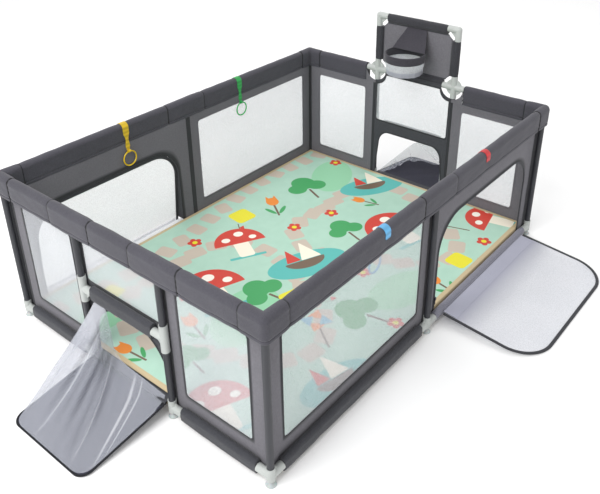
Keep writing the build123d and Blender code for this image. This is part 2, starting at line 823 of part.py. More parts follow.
# Arched door panels: the front door hangs open, the back door is zipped shut
door_arch = arch_outline(arch_middle, arch_half, sill, arch_head, arch_radius)
door_tilts = {"front": -leaf_drop, "back": 90 + leaf_lean}
for name, wall in bay_names.items():
    arched = wall_panel(wall, panel_gap, bay_end_x, cover_foot, door_arch)
    with BuildPart() as door_panel:
        add(arched)
    door_panel.part.label = f"{name}_door_panel"
    export_step(door_panel.part, f"parts/{name}_door_panel.step")

    leaf = leaf_plane(wall, arch_middle, hinge_height, door_tilts[name])
    rim = door_binding(leaf)
    with BuildPart() as leaf_binding:
        add(rim)
    leaf_binding.part.label = f"{name}_door_binding"
    export_step(leaf_binding.part, f"parts/{name}_door_binding.step")

    sheet = door_mesh(leaf)
    with BuildPart() as leaf_mesh:
        add(sheet)
    leaf_mesh.part.label = f"{name}_door_mesh"
    export_step(leaf_mesh.part, f"parts/{name}_door_mesh.step")

    moving_zip = zip_slider(wall)
    with BuildPart() as slider:
        add(moving_zip)
    slider.part.label = f"{name}_zip_slider"
    export_step(slider.part, f"parts/{name}_zip_slider.step")

# Zip tapes round both arches
tapes = [zip_tape(wall) for wall in long_walls]
with BuildPart() as door_zips:
    add(tapes)
door_zips.part.label = "door_zips"
export_step(door_zips.part, "parts/door_zips.step")

# Goal panels: a mesh window over an arched goal mouth
goal_mouth = arch_outline(0, goal_mouth_half, sill, goal_mouth_head, goal_mouth_radius)
left_window = window_outline(-goal_window_half, goal_window_half, goal_window_foot, goal_window_head)
plain_window = window_outline(-goal_window_half, goal_window_half, goal_window_foot, tower_window_head)
with BuildSketch() as window_cuts:
    with Locations((goal_half, rail_axis), (-goal_half, rail_axis)):
        Circle(board_cut + goal_half - goal_window_half)
with BuildSketch() as tower_window:
    add(plain_window)
    add(window_cuts.sketch, mode=Mode.SUBTRACT)
tower_panel_head = rail_axis + tower_panel_lap
left_goal = wall_panel(left_wall, panel_gap - goal_half, goal_half - panel_gap, cover_foot,
                       [goal_mouth, left_window])
right_goal = wall_panel(right_wall, panel_gap - goal_half, goal_half - panel_gap, tower_panel_head,
                        [goal_mouth, tower_window.sketch, cross_cuts.sketch])
with BuildPart() as goal_panels:
    add([left_goal, right_goal])
goal_panels.part.label = "goal_panels"
export_step(goal_panels.part, "parts/goal_panels.step")

left_sheet = mesh_sheet(left_wall, left_window)
right_sheet = mesh_sheet(right_wall, tower_window.sketch)
with BuildPart() as goal_meshes:
    add([left_sheet, right_sheet])
goal_meshes.part.label = "goal_meshes"
export_step(goal_meshes.part, "parts/goal_meshes.step")

# Goal flaps on the floor outside, and the nets tented over them
goal_names = {"left": left_wall, "right": right_wall}
for name, wall in goal_names.items():
    floor_plane = leaf_plane(wall, 0, goal_hinge_height, -flap_drop)
    floor_sheet = goal_flap(floor_plane)
    with BuildPart() as flap:
        add(floor_sheet)
    flap.part.label = f"{name}_goal_flap"
    export_step(flap.part, f"parts/{name}_goal_flap.step")

    tent = goal_net(wall, floor_plane)
    with BuildPart() as net:
        add(tent)
    net.part.label = f"{name}_goal_net"
    export_step(net.part, f"parts/{name}_goal_net.step")

# Tower frame: two posts, a top bar and the rail between the crosses
tower_spots = [spot_on(right_wall, side * goal_half, 0) for side in (-1, 1)]
upright_tubes = [steel_tube(spot + up * (rail_axis + tube_stop), spot + up * (tower_axis - tube_stop))
                 for spot in tower_spots]
level_tubes = [steel_tube(spot_on(right_wall, -bar_half, height), spot_on(right_wall, bar_half, height))
               for height in (rail_axis, tower_axis)]
with BuildPart() as tower_tubes:
    add(upright_tubes + level_tubes)
tower_tubes.part.label = "tower_tubes"
export_step(tower_tubes.part, "parts/tower_tubes.step")

# Four-way joints with a round web, at the foot of the tower
cross_mouldings = []
for spot in tower_spots:
    centre = spot + up * rail_axis
    with BuildPart() as cross_web:
        with BuildSketch(Plane(origin=centre, z_dir=right_wall.z_dir)):
            Circle(web_radius)
        extrude(amount=web_thick / 2, both=True)
    arms = ((up, tee_rise), (-up, tee_rise), (right_wall.x_dir, cross_reach), (-right_wall.x_dir, cross_reach))
    cross_mouldings.append(pipe_joint(centre, arms, [cross_web.part]))
with BuildPart() as tower_cross_joints:
    add(cross_mouldings)
tower_cross_joints.part.label = "tower_cross_joints"
export_step(tower_cross_joints.part, "parts/tower_cross_joints.step")

# Elbows at the top of the tower
elbow_mouldings = []
for spot in tower_spots:
    inward = Vector(0, -spot.Y / abs(spot.Y), 0)
    centre = spot + up * tower_axis
    web = gusset(centre, inward, -elbow_reach, elbow_reach)
    elbow_mouldings.append(pipe_joint(centre, ((-up, elbow_reach), (inward, elbow_reach)), [web]))
with BuildPart() as tower_elbows:
    add(elbow_mouldings)
tower_elbows.part.label = "tower_elbows"
export_step(tower_elbows.part, "parts/tower_elbows.step")

# Fabric channels sewn round the backboard, one on each tower tube
channel_shift = (channel_depth - channel_thick) / 2
post_channel_foot = rail_axis + tee_rise + butt
post_channel_head = tower_axis - elbow_reach - butt
level_channels = ((rail_axis, rail_axis + channel_shift, goal_half - cross_reach - butt),
                  (tower_axis, tower_axis - channel_shift, goal_half - elbow_reach - butt))
with BuildPart() as tower_sleeves:
    for side in (-1, 1):
        with BuildSketch(Plane.XY.offset(post_channel_foot)):
            with Locations((half_x, side * (goal_half - channel_shift))):
                SlotOverall(channel_depth, channel_thick, rotation=90)
            with Locations((half_x, side * goal_half)):
                Circle(bore_radius, mode=Mode.SUBTRACT)
        extrude(amount=post_channel_head - post_channel_foot)
    for tube_height, slot_height, reach in level_channels:
        with BuildSketch(section_plane(spot_on(right_wall, -reach, 0), right_wall.x_dir)):
            with Locations((0, slot_height)):
                SlotOverall(channel_depth, channel_thick, rotation=90)
            with Locations((0, tube_height)):
                Circle(bore_radius, mode=Mode.SUBTRACT)
        extrude(amount=2 * reach)
tower_sleeves.part.label = "tower_sleeves"
export_step(tower_sleeves.part, "parts/tower_sleeves.step")

# Backboard sheet between the channels, cut round the joints
channel_inner = channel_depth - channel_thick / 2
board_foot = rail_axis + channel_inner
board_head = tower_axis - channel_inner
board_half = goal_half - channel_inner
with BuildPart() as backboard:
    with BuildSketch(right_wall.offset(-board_thick / 2)):
        with Locations((0, (board_foot + board_head) / 2)):
            Rectangle(2 * board_half, board_head - board_foot)
        with Locations((goal_half, rail_axis), (-goal_half, rail_axis),
                       (goal_half, tower_axis), (-goal_half, tower_axis)):
            Circle(board_cut, mode=Mode.SUBTRACT)
    extrude(amount=board_thick)
backboard.part.label = "backboard"
export_step(backboard.part, "parts/backboard.step")

# Patch that ties the hoop to the backboard
with BuildPart() as hoop_patch:
    with BuildSketch(Plane(origin=(board_face, 0, hoop_top - hoop_height / 2), z_dir=(-1, 0, 0))):
        RectangleRounded(patch_height, patch_width, patch_thick)
    extrude(amount=patch_thick)
hoop_patch.part.label = "hoop_patch"
export_step(hoop_patch.part, "parts/hoop_patch.step")

# Hoop: a stiff band covered in fabric
with BuildPart() as hoop_ring:
    with BuildSketch(Plane(origin=(hoop_x, 0, 0), x_dir=(1, 0, 0), z_dir=(0, -1, 0))):
        with Locations((hoop_radius - hoop_wall / 2, hoop_top - hoop_height / 2)):
            RectangleRounded(hoop_wall, hoop_height, hoop_wall / 2.2)
    revolve(axis=Axis((hoop_x, 0, 0), up))
hoop_ring.part.label = "hoop_ring"
export_step(hoop_ring.part, "parts/hoop_ring.step")

# Basket: a tapered mesh tube under the hoop, open below
basket_top = hoop_top - hoop_height - fit
basket_rim = hoop_radius - hoop_wall / 2
with BuildPart() as hoop_basket:
    with BuildSketch(Plane(origin=(hoop_x, 0, 0), x_dir=(1, 0, 0), z_dir=(0, -1, 0))):
        with BuildLine():
            Polyline((basket_rim, basket_top), (basket_rim - basket_taper, basket_top - basket_depth),
                     (basket_rim - basket_taper - basket_wall, basket_top - basket_depth),
                     (basket_rim - basket_wall, basket_top), close=True)
        make_face()
    revolve(axis=Axis((hoop_x, 0, 0), up))
hoop_basket.part.label = "hoop_basket"
export_step(hoop_basket.part, "parts/hoop_basket.step")

# Yoke: a tapered fabric panel that hangs the hoop from the top of the backboard
yoke_lean = atan2(board_face - hoop_x - yoke_setback, board_head - hoop_top)
yoke_top = Vector(board_face - fit - yoke_thick / 2 * cos(yoke_lean), 0, board_head - yoke_thick)
yoke_foot = Vector(hoop_x + yoke_setback, 0, hoop_top + fit + yoke_thick / 2 * sin(yoke_lean))
yoke_foot_half = sqrt((hoop_radius - hoop_wall / 2) ** 2 - yoke_setback ** 2)
yoke_fall = yoke_foot - yoke_top
with BuildPart() as hoop_yoke:
    with BuildSketch(Plane(origin=yoke_top, x_dir=(0, 1, 0), z_dir=Vector(0, 1, 0).cross(yoke_fall))):
        with BuildLine():
            Polyline((-yoke_top_half, 0), (yoke_top_half, 0), (yoke_foot_half, yoke_fall.length),
                     (-yoke_foot_half, yoke_fall.length), close=True)
        make_face()
    extrude(amount=yoke_thick / 2, both=True)
hoop_yoke.part.label = "hoop_yoke"
export_step(hoop_yoke.part, "parts/hoop_yoke.step")

# Pull straps over the long rails, and the rings that hang in their loops
strap_spots = {"yellow": (back_wall, strap_place), "green": (back_wall, -strap_place),
               "red": (front_wall, strap_place), "blue": (front_wall, -strap_place)}
for colour, (wall, along) in strap_spots.items():
    webbing = pull_strap(wall, along)
    with BuildPart() as strap:
        add(webbing)
    strap.part.label = f"{colour}_strap"
    export_step(strap.part, f"parts/{colour}_strap.step")

    hoop = pull_ring(wall, along)
    with BuildPart() as ring:
        add(hoop)
    ring.part.label = f"{colour}_ring"
    export_step(ring.part, f"parts/{colour}_ring.step")
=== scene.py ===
"""Playpen with two goals and a hoop tower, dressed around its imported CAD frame, in metres."""

import bmesh
import bpy
import numpy as np
from mathutils import Matrix


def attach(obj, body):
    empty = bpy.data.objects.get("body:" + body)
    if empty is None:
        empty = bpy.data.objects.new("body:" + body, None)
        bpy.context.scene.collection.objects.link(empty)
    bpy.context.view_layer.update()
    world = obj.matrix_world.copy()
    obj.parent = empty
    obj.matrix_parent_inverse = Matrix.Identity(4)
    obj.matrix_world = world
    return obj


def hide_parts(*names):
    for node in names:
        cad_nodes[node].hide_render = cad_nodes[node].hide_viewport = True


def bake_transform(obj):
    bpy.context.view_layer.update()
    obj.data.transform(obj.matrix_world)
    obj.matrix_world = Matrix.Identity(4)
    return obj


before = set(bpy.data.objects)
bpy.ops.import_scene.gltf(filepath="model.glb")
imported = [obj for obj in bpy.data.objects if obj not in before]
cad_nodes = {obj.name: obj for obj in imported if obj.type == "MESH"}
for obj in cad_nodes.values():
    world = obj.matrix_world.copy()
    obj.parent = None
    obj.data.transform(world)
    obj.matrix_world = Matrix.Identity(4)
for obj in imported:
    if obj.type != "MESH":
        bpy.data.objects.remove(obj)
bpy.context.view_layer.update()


# Frame tubes: 25 mm steel tube, cut to length and pushed into the joints. It is powder coated charcoal,
# a satin skin with a faint orange peel that softens the highlights along each post.
def colour(code, share=1.0):
    """A share of an sRGB hex as linear RGBA: x / 12.92 up to 0.04045, above ((x + 0.055) / 1.055) ** 2.4."""
    part = np.array([int(code[i:i + 2], 16) for i in (0, 2, 4)]) / 255
    linear = np.where(part <= 0.04045, part / 12.92, ((part + 0.055) / 1.055) ** 2.4)
    return (*(linear * share).tolist(), 1.0)


def add(material, kind, out, inputs=(), **settings):
    """One shader node: settings are its own values, inputs maps a socket to a value or to another node's
    output. It gives back its output called out."""
    made = material.node_tree.nodes.new("ShaderNode" + kind)
    for name, value in settings.items():
        setattr(made, name, value)
    for socket, value in dict(inputs).items():
        if isinstance(value, bpy.types.NodeSocket):
            material.node_tree.links.new(value, made.inputs[socket])
        else:
            made.inputs[socket].default_value = value
    return None if out is None else made.outputs[out]


def bare_material(name):
    """An empty node material."""
    material = bpy.data.materials.new(name)
    material.use_nodes = True
    material.node_tree.nodes.clear()
    return material


def surface(material, inputs):
    """Ends a material with its shader, which has these inputs, and its output."""
    add(material, "OutputMaterial", None, {"Surface": add(material, "BsdfPrincipled", "BSDF", inputs)})
    return material


def hard_finish(name, tones, patch, detail, shader, contrast=(0, 1), gloss=None, grain=None):
    """A moulded or coated skin: two tones in soft patches, the same patches in its roughness where gloss
    gives a range, and a fine grain of (size, strength, depth) that softens its highlights."""
    skin = bare_material(name)
    where = add(skin, "TexCoord", "Object")
    patches = add(skin, "TexNoise", "Fac", {"Vector": where, "Scale": 1 / patch, "Detail": detail})
    mixed = add(skin, "MapRange", "Result",
                {"Value": patches, "From Min": contrast[0], "From Max": contrast[1]})
    tone = add(skin, "Mix", 2, {0: mixed, 6: tones[0], 7: tones[1]}, data_type="RGBA")
    inputs = {"Base Color": tone, **shader}
    if gloss:
        inputs["Roughness"] = add(skin, "MapRange", "Result",
                                  {"Value": patches, "To Min": gloss[0], "To Max": gloss[1]})
    if grain:
        size, strength, depth = grain
        peel = add(skin, "TexNoise", "Fac", {"Vector": where, "Scale": 1 / size, "Detail": 2.0})
        inputs["Normal"] = add(skin, "Bump", "Normal",
                               {"Height": peel, "Strength": strength, "Distance": depth})
    return surface(skin, inputs)


def finish_node(material, *names):
    """Gives CAD nodes one finish in place of their packed one."""
    for name in names:
        cad_nodes[name].data.materials.clear()
        cad_nodes[name].data.materials.append(material)


powder_coat = hard_finish("charcoal_powder_coat", (colour("2B2C31"), colour("393A3F")), 0.06, 5.0,
                          {"IOR": 1.5}, gloss=(0.36, 0.6), grain=(0.004, 0.15, 0.0004))
finish_node(powder_coat, "wall_posts", "goal_posts", "goal_crossbars", "tower_tubes", "top_rail_tubes",
            "bottom_rail_tubes")

# Feet and joints: injection-moulded polypropylene sockets that the tubes push into. Pale grey with a fine
# spark-eroded grain, 0.4 mm on the real one and drawn at 2 mm so that it shows.
moulded = hard_finish("grey_polypropylene", (colour("A7ABA8"), colour("BCC0BD")), 0.05, 3.0,
                      {"Roughness": 0.46, "IOR": 1.49}, grain=(0.002, 0.12, 0.0003))
finish_node(moulded, "corner_feet", "middle_feet", "goal_feet", "goal_tees", "top_corner_joints",
            "top_tee_joints", "tower_cross_joints", "tower_elbows")

# Suction cups: soft clear PVC, moulded and pressed on under every foot.
# Milky and slightly glossy.
soft_pvc = hard_finish("milky_pvc", (colour("A2A9A9"), colour("C0C7C7")), 0.012, 3.0,
                       {"Roughness": 0.3, "IOR": 1.53, "Subsurface Weight": 0.2, "Subsurface Scale": 0.004})
finish_node(soft_pvc, "suction_cups")

# Wall fabric: mid-grey woven polyester with a dark bound edge round every window and arch. It hangs inside
# the posts from the top rail to the bottom rail, so it is pulled flat with only slight ripples.
half_x, half_y, goal_half = 0.951, 0.684, 0.223
up = np.array([0.0, 0.0, 1.0])
walls = {"front": np.array([[0, -half_y, 0], [1, 0, 0], [0, -1, 0]]),
         "back": np.array([[0, half_y, 0], [-1, 0, 0], [0, 1, 0]]),
         "left": np.array([[-half_x, 0, 0], [0, -1, 0], [-1, 0, 0]]),
         "right": np.array([[half_x, 0, 0], [0, 1, 0], [1, 0, 0]])}


def on_wall(wall, along, height, depth):
    """Wall point: origin + along * run + height * up - depth * outward, depth inside the post axes."""
    origin, run, outward = walls[wall]
    along, height, depth = np.broadcast_arrays(along, height, depth)
    return origin + along[..., None] * run + height[..., None] * up - depth[..., None] * outward


def ripple(a, b, waves, seed):
    """Mean of sine waves of given lengths with seeded headings and phases, so within -1 to 1."""
    draw = np.random.default_rng(seed)
    total = 0.0
    for length in waves:
        heading, phase = draw.uniform(0, 2 * np.pi, 2)
        total = total + np.sin(2 * np.pi * (a * np.cos(heading) + b * np.sin(heading)) / length + phase)
    return total / len(waves)


def chord(radius, offset):
    """Half a circle's chord at an offset from its centre: sqrt(radius^2 - offset^2), and 0 outside it."""
    return np.sqrt(np.clip(radius ** 2 - offset ** 2, 0, None))


def quads(rows, columns, close_rows, close_columns):
    """Vertex numbers of a grid's quads; a closed direction joins its last line to its first."""
    grid = np.arange(rows * columns).reshape(rows, columns)
    if close_rows:
        grid = np.vstack([grid, grid[:1]])
    if close_columns:
        grid = np.hstack([grid, grid[:, :1]])
    return np.stack([grid[:-1, :-1], grid[:-1, 1:], grid[1:, 1:], grid[1:, :-1]], -1).reshape(-1, 4)


def new_object(name, data):
    """An object in the scene."""
    made = bpy.data.objects.new(name, data)
    bpy.context.scene.collection.objects.link(made)
    return made


def sew(name, shells, material, body, stands_for, parts=None, fill=False):
    """One piece from shells: a grid of points that closes on itself along its columns, or (grid, rows closed,
    columns closed). Each of parts has its vertex values in arrays, one after another."""
    shells = [shell if isinstance(shell, tuple) else (shell, False, True) for shell in shells]
    points = np.concatenate([grid.reshape(-1, 3) for grid, _, _ in shells])
    starts = np.cumsum([0] + [grid.shape[0] * grid.shape[1] for grid, _, _ in shells])
    faces = np.concatenate([quads(*grid.shape[:2], rows, columns) + start
                            for (grid, rows, columns), start in zip(shells, starts)])
    mesh = bpy.data.meshes.new(name)
    mesh.from_pydata(points.tolist(), [], faces.tolist())
    for part, values in (parts or {}).items():
        flat = np.concatenate([np.ravel(value) for value in values]).astype(np.float32)
        mesh.attributes.new(part, "FLOAT", "POINT").data.foreach_set("value", flat)
    work = bmesh.new()
    work.from_mesh(mesh)
    bmesh.ops.remove_doubles(work, verts=work.verts, dist=1e-6)
    if fill:
        bmesh.ops.holes_fill(work, edges=[edge for edge in work.edges if edge.is_boundary], sides=0)
    bmesh.ops.recalc_face_normals(work, faces=work.faces)
    work.to_mesh(mesh)
    work.free()
    crease = np.radians(50)
    mesh.shade_smooth()
    mesh.set_sharp_from_angle(angle=crease)
    mesh.materials.append(material)
    made = new_object(name, mesh)
    if body:
        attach(made, body)
    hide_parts(stands_for)
    return made


def even_points(line, count, last=True):
    """count points evenly spaced by length along a line of points, with or without its last point."""
    steps = np.concatenate([[0], np.cumsum(np.linalg.norm(np.diff(line, axis=0), axis=1))])
    at = np.linspace(0, steps[-1], count, endpoint=last)
    return np.stack([np.interp(at, steps, line[:, k]) for k in range(line.shape[1])], -1)


def corner_path(left, right, low, high, radii, count):
    """Closed outline of a rectangle, from the low left corner round by the right, count points a side.
    A positive radius rounds its corner, a negative one hollows it by a quarter circle about the corner."""
    corners = np.array([[left, low], [right, low], [right, high], [left, high]], float)
    ways = np.array([[1, 0], [0, 1], [-1, 0], [0, -1]], float)
    turn = np.linspace(0, np.pi / 2, 25)[:, None]
    arcs = []
    for corner, before, after, radius in zip(corners, np.roll(ways, 1, 0), ways, radii):
        if radius >= 0:
            middle = corner + radius * (after - before)
            arcs.append(middle + radius * (before * np.sin(turn) - after * np.cos(turn)))
        else:
            arcs.append(corner - radius * (after * np.sin(turn) - before * np.cos(turn)))
    return np.concatenate([even_points(np.concatenate([arcs[k - 1][12:], arcs[k][:13]]), count, last=False)
                           for k in (1, 2, 3, 0)])


def area_of(path):
    """Area inside a closed outline: half the sum of x1 * y2 - x2 * y1."""
    after = np.roll(path, -1, 0)
    return abs((path[:, 0] * after[:, 1] - after[:, 0] * path[:, 1]).sum()) / 2


def drawn_round(wall, along, depth):
    """Cloth at the end of a long wall: its last 20 mm curves out, by the square of its share, to the corner
    post, 10.5 mm longer and 7.8 mm further out."""
    begins, curve, longer, outer = 0.0395, 0.020, 0.0105, 0.0078
    share = np.clip((np.abs(along) - half_x + begins) / curve, 0, 1) ** 2 * (wall in ("front", "back"))
    return along + np.sign(along) * longer * share, depth - outer * share


def bordered_panel(wall, hole, outline, seed, bound, inner_trim):
    """Fabric between a hole's outline and an outer outline: point = hole + share * (outline - hole).
    Each cross-section is a closed loop, out on the outer face and back on the inner one. The hole's binding
    is dark outside, and inside where inner_trim is 1. Under a rail cover the top 6 mm runs out by 1.5 mm."""
    bound_half, wave, tuck = 0.0020, 0.0011, 0.0015
    span = outline - hole
    width = np.linalg.norm(span, axis=1)[:, None]
    near = np.minimum(bound / width, 0.6)
    share = np.concatenate([near * np.array([0, 0.1, 0.9, 1.0]),
                            near + (1 - near) * np.array([0.12, 0.35, 0.65, 0.75, 0.85, 0.94, 1.0])], 1)
    half = np.array([0.4, 1, 1, 0.62] + [cloth_thick / 2 / bound_half] * 7) * bound_half
    share = np.concatenate([share, share[:, ::-1]], 1)
    half = np.concatenate([-half, half[::-1]])
    flat = hole[:, None] + span[:, None] * share[..., None]
    slack = np.sin(np.pi * np.clip(share, 0, 1))
    depth = cloth_depth + half + wave * slack * ripple(flat[..., 0], flat[..., 1], (0.31, 0.17, 0.11), seed)
    if outline[:, 1].max() < 0.6:
        depth = depth - tuck * np.clip((flat[..., 1] - panel_head + 0.006) / 0.004, 0, 1)
    along, depth = drawn_round(wall, flat[..., 0], depth)
    bound_part = np.concatenate([[1] * 4, [0] * 14, [inner_trim] * 4])
    return on_wall(wall, along, flat[..., 1], depth), np.broadcast_to(bound_part, share.shape)


def woven_cloth(name, warp, fleck, trim, sheen=0.15, gloss=0.5):
    """Plain-weave polyester: two thread tones in a melange, and a lighter or darker tone where the piece's trim
    attribute says so, for a binding or for painted shade.
    Threads are 0.8 mm apart on the real cloth and drawn at 3 mm so that the weave shows."""
    cloth = bare_material(name)
    where = add(cloth, "TexCoord", "Object")
    shifted = add(cloth, "Mapping", "Vector", {"Vector": where, "Location": (0.0007, 0.0004, 0.0009)})
    threads = add(cloth, "TexChecker", "Fac", {"Vector": shifted, "Scale": 1 / 0.003})
    melange = add(cloth, "TexNoise", "Fac",
                  {"Vector": where, "Scale": 1 / 0.007, "Detail": 5.0, "Roughness": 0.75})
    fade = add(cloth, "TexNoise", "Fac", {"Vector": where, "Scale": 1 / 0.22, "Detail": 2.0})
    dyed = add(cloth, "MapRange", "Result", {"Value": melange, "From Min": 0.3, "From Max": 0.7})
    body_tone = add(cloth, "Mix", 2, {0: dyed, 6: colour(warp), 7: colour(fleck)}, data_type="RGBA")
    part = add(cloth, "Attribute", "Fac", attribute_name="trim")
    trimmed = add(cloth, "Mix", 2, {0: part, 6: body_tone, 7: colour(trim)}, data_type="RGBA")
    worn = add(cloth, "MapRange", "Result", {"Value": fade, "To Min": 0.86, "To Max": 1.14})
    toned = add(cloth, "VectorMath", "Vector", {0: trimmed, "Scale": worn}, operation="SCALE")
    weave = add(cloth, "Bump", "Normal", {"Height": threads, "Strength": 0.25, "Distance": 0.0004})
    yarn = add(cloth, "Bump", "Normal",
               {"Height": melange, "Strength": 0.2, "Distance": 0.0006, "Normal": weave})
    return surface(cloth, {"Base Color": toned, "Roughness": 0.86, "Sheen Weight": sheen,
                           "Specular IOR Level": gloss, "Sheen Roughness": 0.5, "Normal": yarn})


def slab(middle, normal, thick):
    """A sheet from the grid of its middle surface: front at +thick / 2 along the normal, then the back."""
    rings = np.concatenate([middle + normal * thick / 2, (middle - normal * thick / 2)[:, ::-1]], 1)
    ends = [np.concatenate([row, row[:, ::-1]], 1) for row in (middle[:1], middle[-1:])]
    return np.concatenate([ends[0], rings, ends[1]])


panel_foot, panel_head, rail_high = 0.024, 0.5915, 0.660
cloth_depth, cloth_thick, tape_wide, tape_thick, strip_wide = 0.0177, 0.0022, 0.012, 0.0038, 0.060
bay_bound, door_bound, goal_bound = 0.008, 0.013, 0.007
bay_near, bay_far_x, bay_far_y = 0.001, half_x - 0.0195, half_y - 0.0162
arch_middle, arch_half, arch_sill = half_x / 2, half_x / 2 - 0.084, 0.040
arch_top, arch_radius = 0.465, 0.150
window_low, window_high, soft_corner = 0.120, 0.548, 0.012
long_window = (0.090 - half_x, -0.064, window_low, window_high)
short_windows = {"a": (goal_half + 0.064, half_y - 0.090, window_low, window_high),
                 "b": (0.090 - half_y, -goal_half - 0.064, window_low, window_high)}
short_bays = {"a": (goal_half + bay_near, bay_far_y), "b": (-bay_far_y, -goal_half - bay_near)}
wall_cloth = woven_cloth("grey_polyester_border", "5C5B61", "6E6C72", "26272B")
goal_cloth = woven_cloth("charcoal_goal_cloth", "303136", "3E3F45", "26272B")
panels, square = {}, (0,) * 4
window = corner_path(*long_window, (soft_corner,) * 4, 60)
arch = corner_path(arch_middle - arch_half, arch_middle + arch_half, arch_sill, arch_top,
                   (0, 0, arch_radius, arch_radius), 70)
for wall in ("front", "back"):
    bay, door = ((*sorted((side * bay_near, side * bay_far_x)), panel_foot, panel_head) for side in (-1, 1))
    panels[f"{wall}_bay_border"] = (wall, bay_bound, [(window, bay, square)])
    panels[f"{wall}_door_panel"] = (wall, door_bound, [(arch, door, square)])
for wall in ("left", "right"):
    for side, limits in short_windows.items():
        window = corner_path(*limits, (soft_corner,) * 4, 40)
        bay = (*short_bays[side], panel_foot, panel_head)
        panels[f"{wall}_bay_border_{side}"] = (wall, bay_bound, [(window, bay, square)])
goal_edge, goal_split, goal_hollow, joint_hollow = goal_half - bay_near, 0.351, 0.053, 0.060
mouth_half, mouth_low, mouth_taper = 0.208, 0.062, 0.13
goal_windows = {wall: (-0.211, 0.211, 0.384, top) for wall, top in (("left", 0.550), ("right", 0.640))}
goal_heads = {"left": (panel_head, 0, soft_corner, 0.302, 0.15),
              "right": (0.665, -joint_hollow, -goal_hollow, 0.318, 0.06)}
for wall, (head, head_corner, window_corner, mouth_top, mouth_round) in goal_heads.items():
    mouth = corner_path(-mouth_half, mouth_half, mouth_low, mouth_top, (0, 0, mouth_round, mouth_round), 40)
    mouth[:, 0] *= 1 - mouth_taper * (mouth[:, 1] - mouth_low) / (mouth_top - mouth_low)
    window = corner_path(*goal_windows[wall], (soft_corner, soft_corner, window_corner, window_corner), 40)
    panels[f"{wall}_goal_panel"] = (wall, goal_bound, [
        (mouth, (-goal_edge, goal_edge, panel_foot, goal_split), square),
        (window, (-goal_edge, goal_edge, goal_split, head), (0, 0, head_corner, head_corner))])
for seed, (name, (wall, bound, rings)) in enumerate(panels.items()):
    shells, trims, cut = [], [], 0.0
    for hole, limits, corners in rings:
        outline = corner_path(*limits, corners, len(hole) // 4)
        grid, bound_part = bordered_panel(wall, hole, outline, seed, bound, 0 if "bay" in name else 1)
        shells.append((grid, True, True))
        trims.append(bound_part)
        cut += area_of(outline) - area_of(hole)
    if "goal" not in name:
        rise = np.linspace(panel_foot + 0.001, panel_head - 0.005, 40)[:, None]
        for end, inward in zip(rings[0][1][:2], (1, -1)):
            along, depth = drawn_round(wall, end + inward * np.linspace(-0.0008, tape_wide, 8), cloth_depth)
            shells.append(slab(on_wall(wall, along, rise, depth), walls[wall][2], tape_thick))
            trims.append(np.ones(shells[-1].shape[:2]))
            cut += tape_wide * (panel_head - panel_foot)
    if name.startswith("right_bay"):
        rise = np.linspace(panel_head - 0.004, rail_high - 0.004, 30)
        inner = np.maximum(goal_half + bay_near, goal_half + chord(0.058, rise - rail_high))
        along = inner[:, None] + (goal_half + joint_hollow - inner[:, None]) * np.linspace(0, 1, 8)
        along = along if name.endswith("a") else -along
        shells.append(slab(on_wall(wall, along, rise[:, None], cloth_depth), walls[wall][2], cloth_thick))
        trims.append(np.zeros(shells[-1].shape[:2]))
        cut += (goal_half + joint_hollow - inner).mean() * (rise[-1] - rise[0])
    node = name if name in cad_nodes else ("goal_panels" if "goal" in name else "short_bay_borders")
    cloth, slot = (goal_cloth, "wrap_fabric") if "goal" in name else (wall_cloth, "border_fabric")
    made = sew(name, shells, cloth, "pen", node, {"trim": trims})


# Mesh windows: fine white knitted polyester sewn into every window. It is sheer, so what is behind shows
# faded through it. Real holes are 1.5 mm; they are drawn at 4 mm so that they show.
def knitted_mesh(name, yarn, pale, thin, dense, trim="8A8A92", banded=0.85):
    """Knitted mesh: yarn of two tones round small holes, so the alpha runs from thin in a hole to dense on
    yarn. Where the piece's trim attribute is set it takes that tone, for a binding, a denser band or painted
    shade, and its alpha rises to banded."""
    net = bare_material(name)
    where = add(net, "TexCoord", "Object")
    holes = add(net, "TexVoronoi", "Distance", {"Vector": where, "Scale": 1 / 0.004})
    cloudy = add(net, "TexNoise", "Fac", {"Vector": where, "Scale": 1 / 0.18, "Detail": 3.0})
    cover = add(net, "MapRange", "Result",
                {"Value": holes, "From Min": 0.15, "From Max": 0.6, "To Min": thin, "To Max": dense})
    part = add(net, "Attribute", "Fac", attribute_name="trim")
    toned = add(net, "Mix", 2, {0: cloudy, 6: colour(yarn), 7: colour(pale)}, data_type="RGBA")
    doubled = add(net, "Mix", 2, {0: part, 6: toned, 7: colour(trim)}, data_type="RGBA")
    filled = add(net, "Mix", 0, {0: part, 2: cover, 3: banded})
    return surface(net, {"Base Color": doubled, "Roughness": 0.7, "Alpha": filled, "Sheen Weight": 0.1})


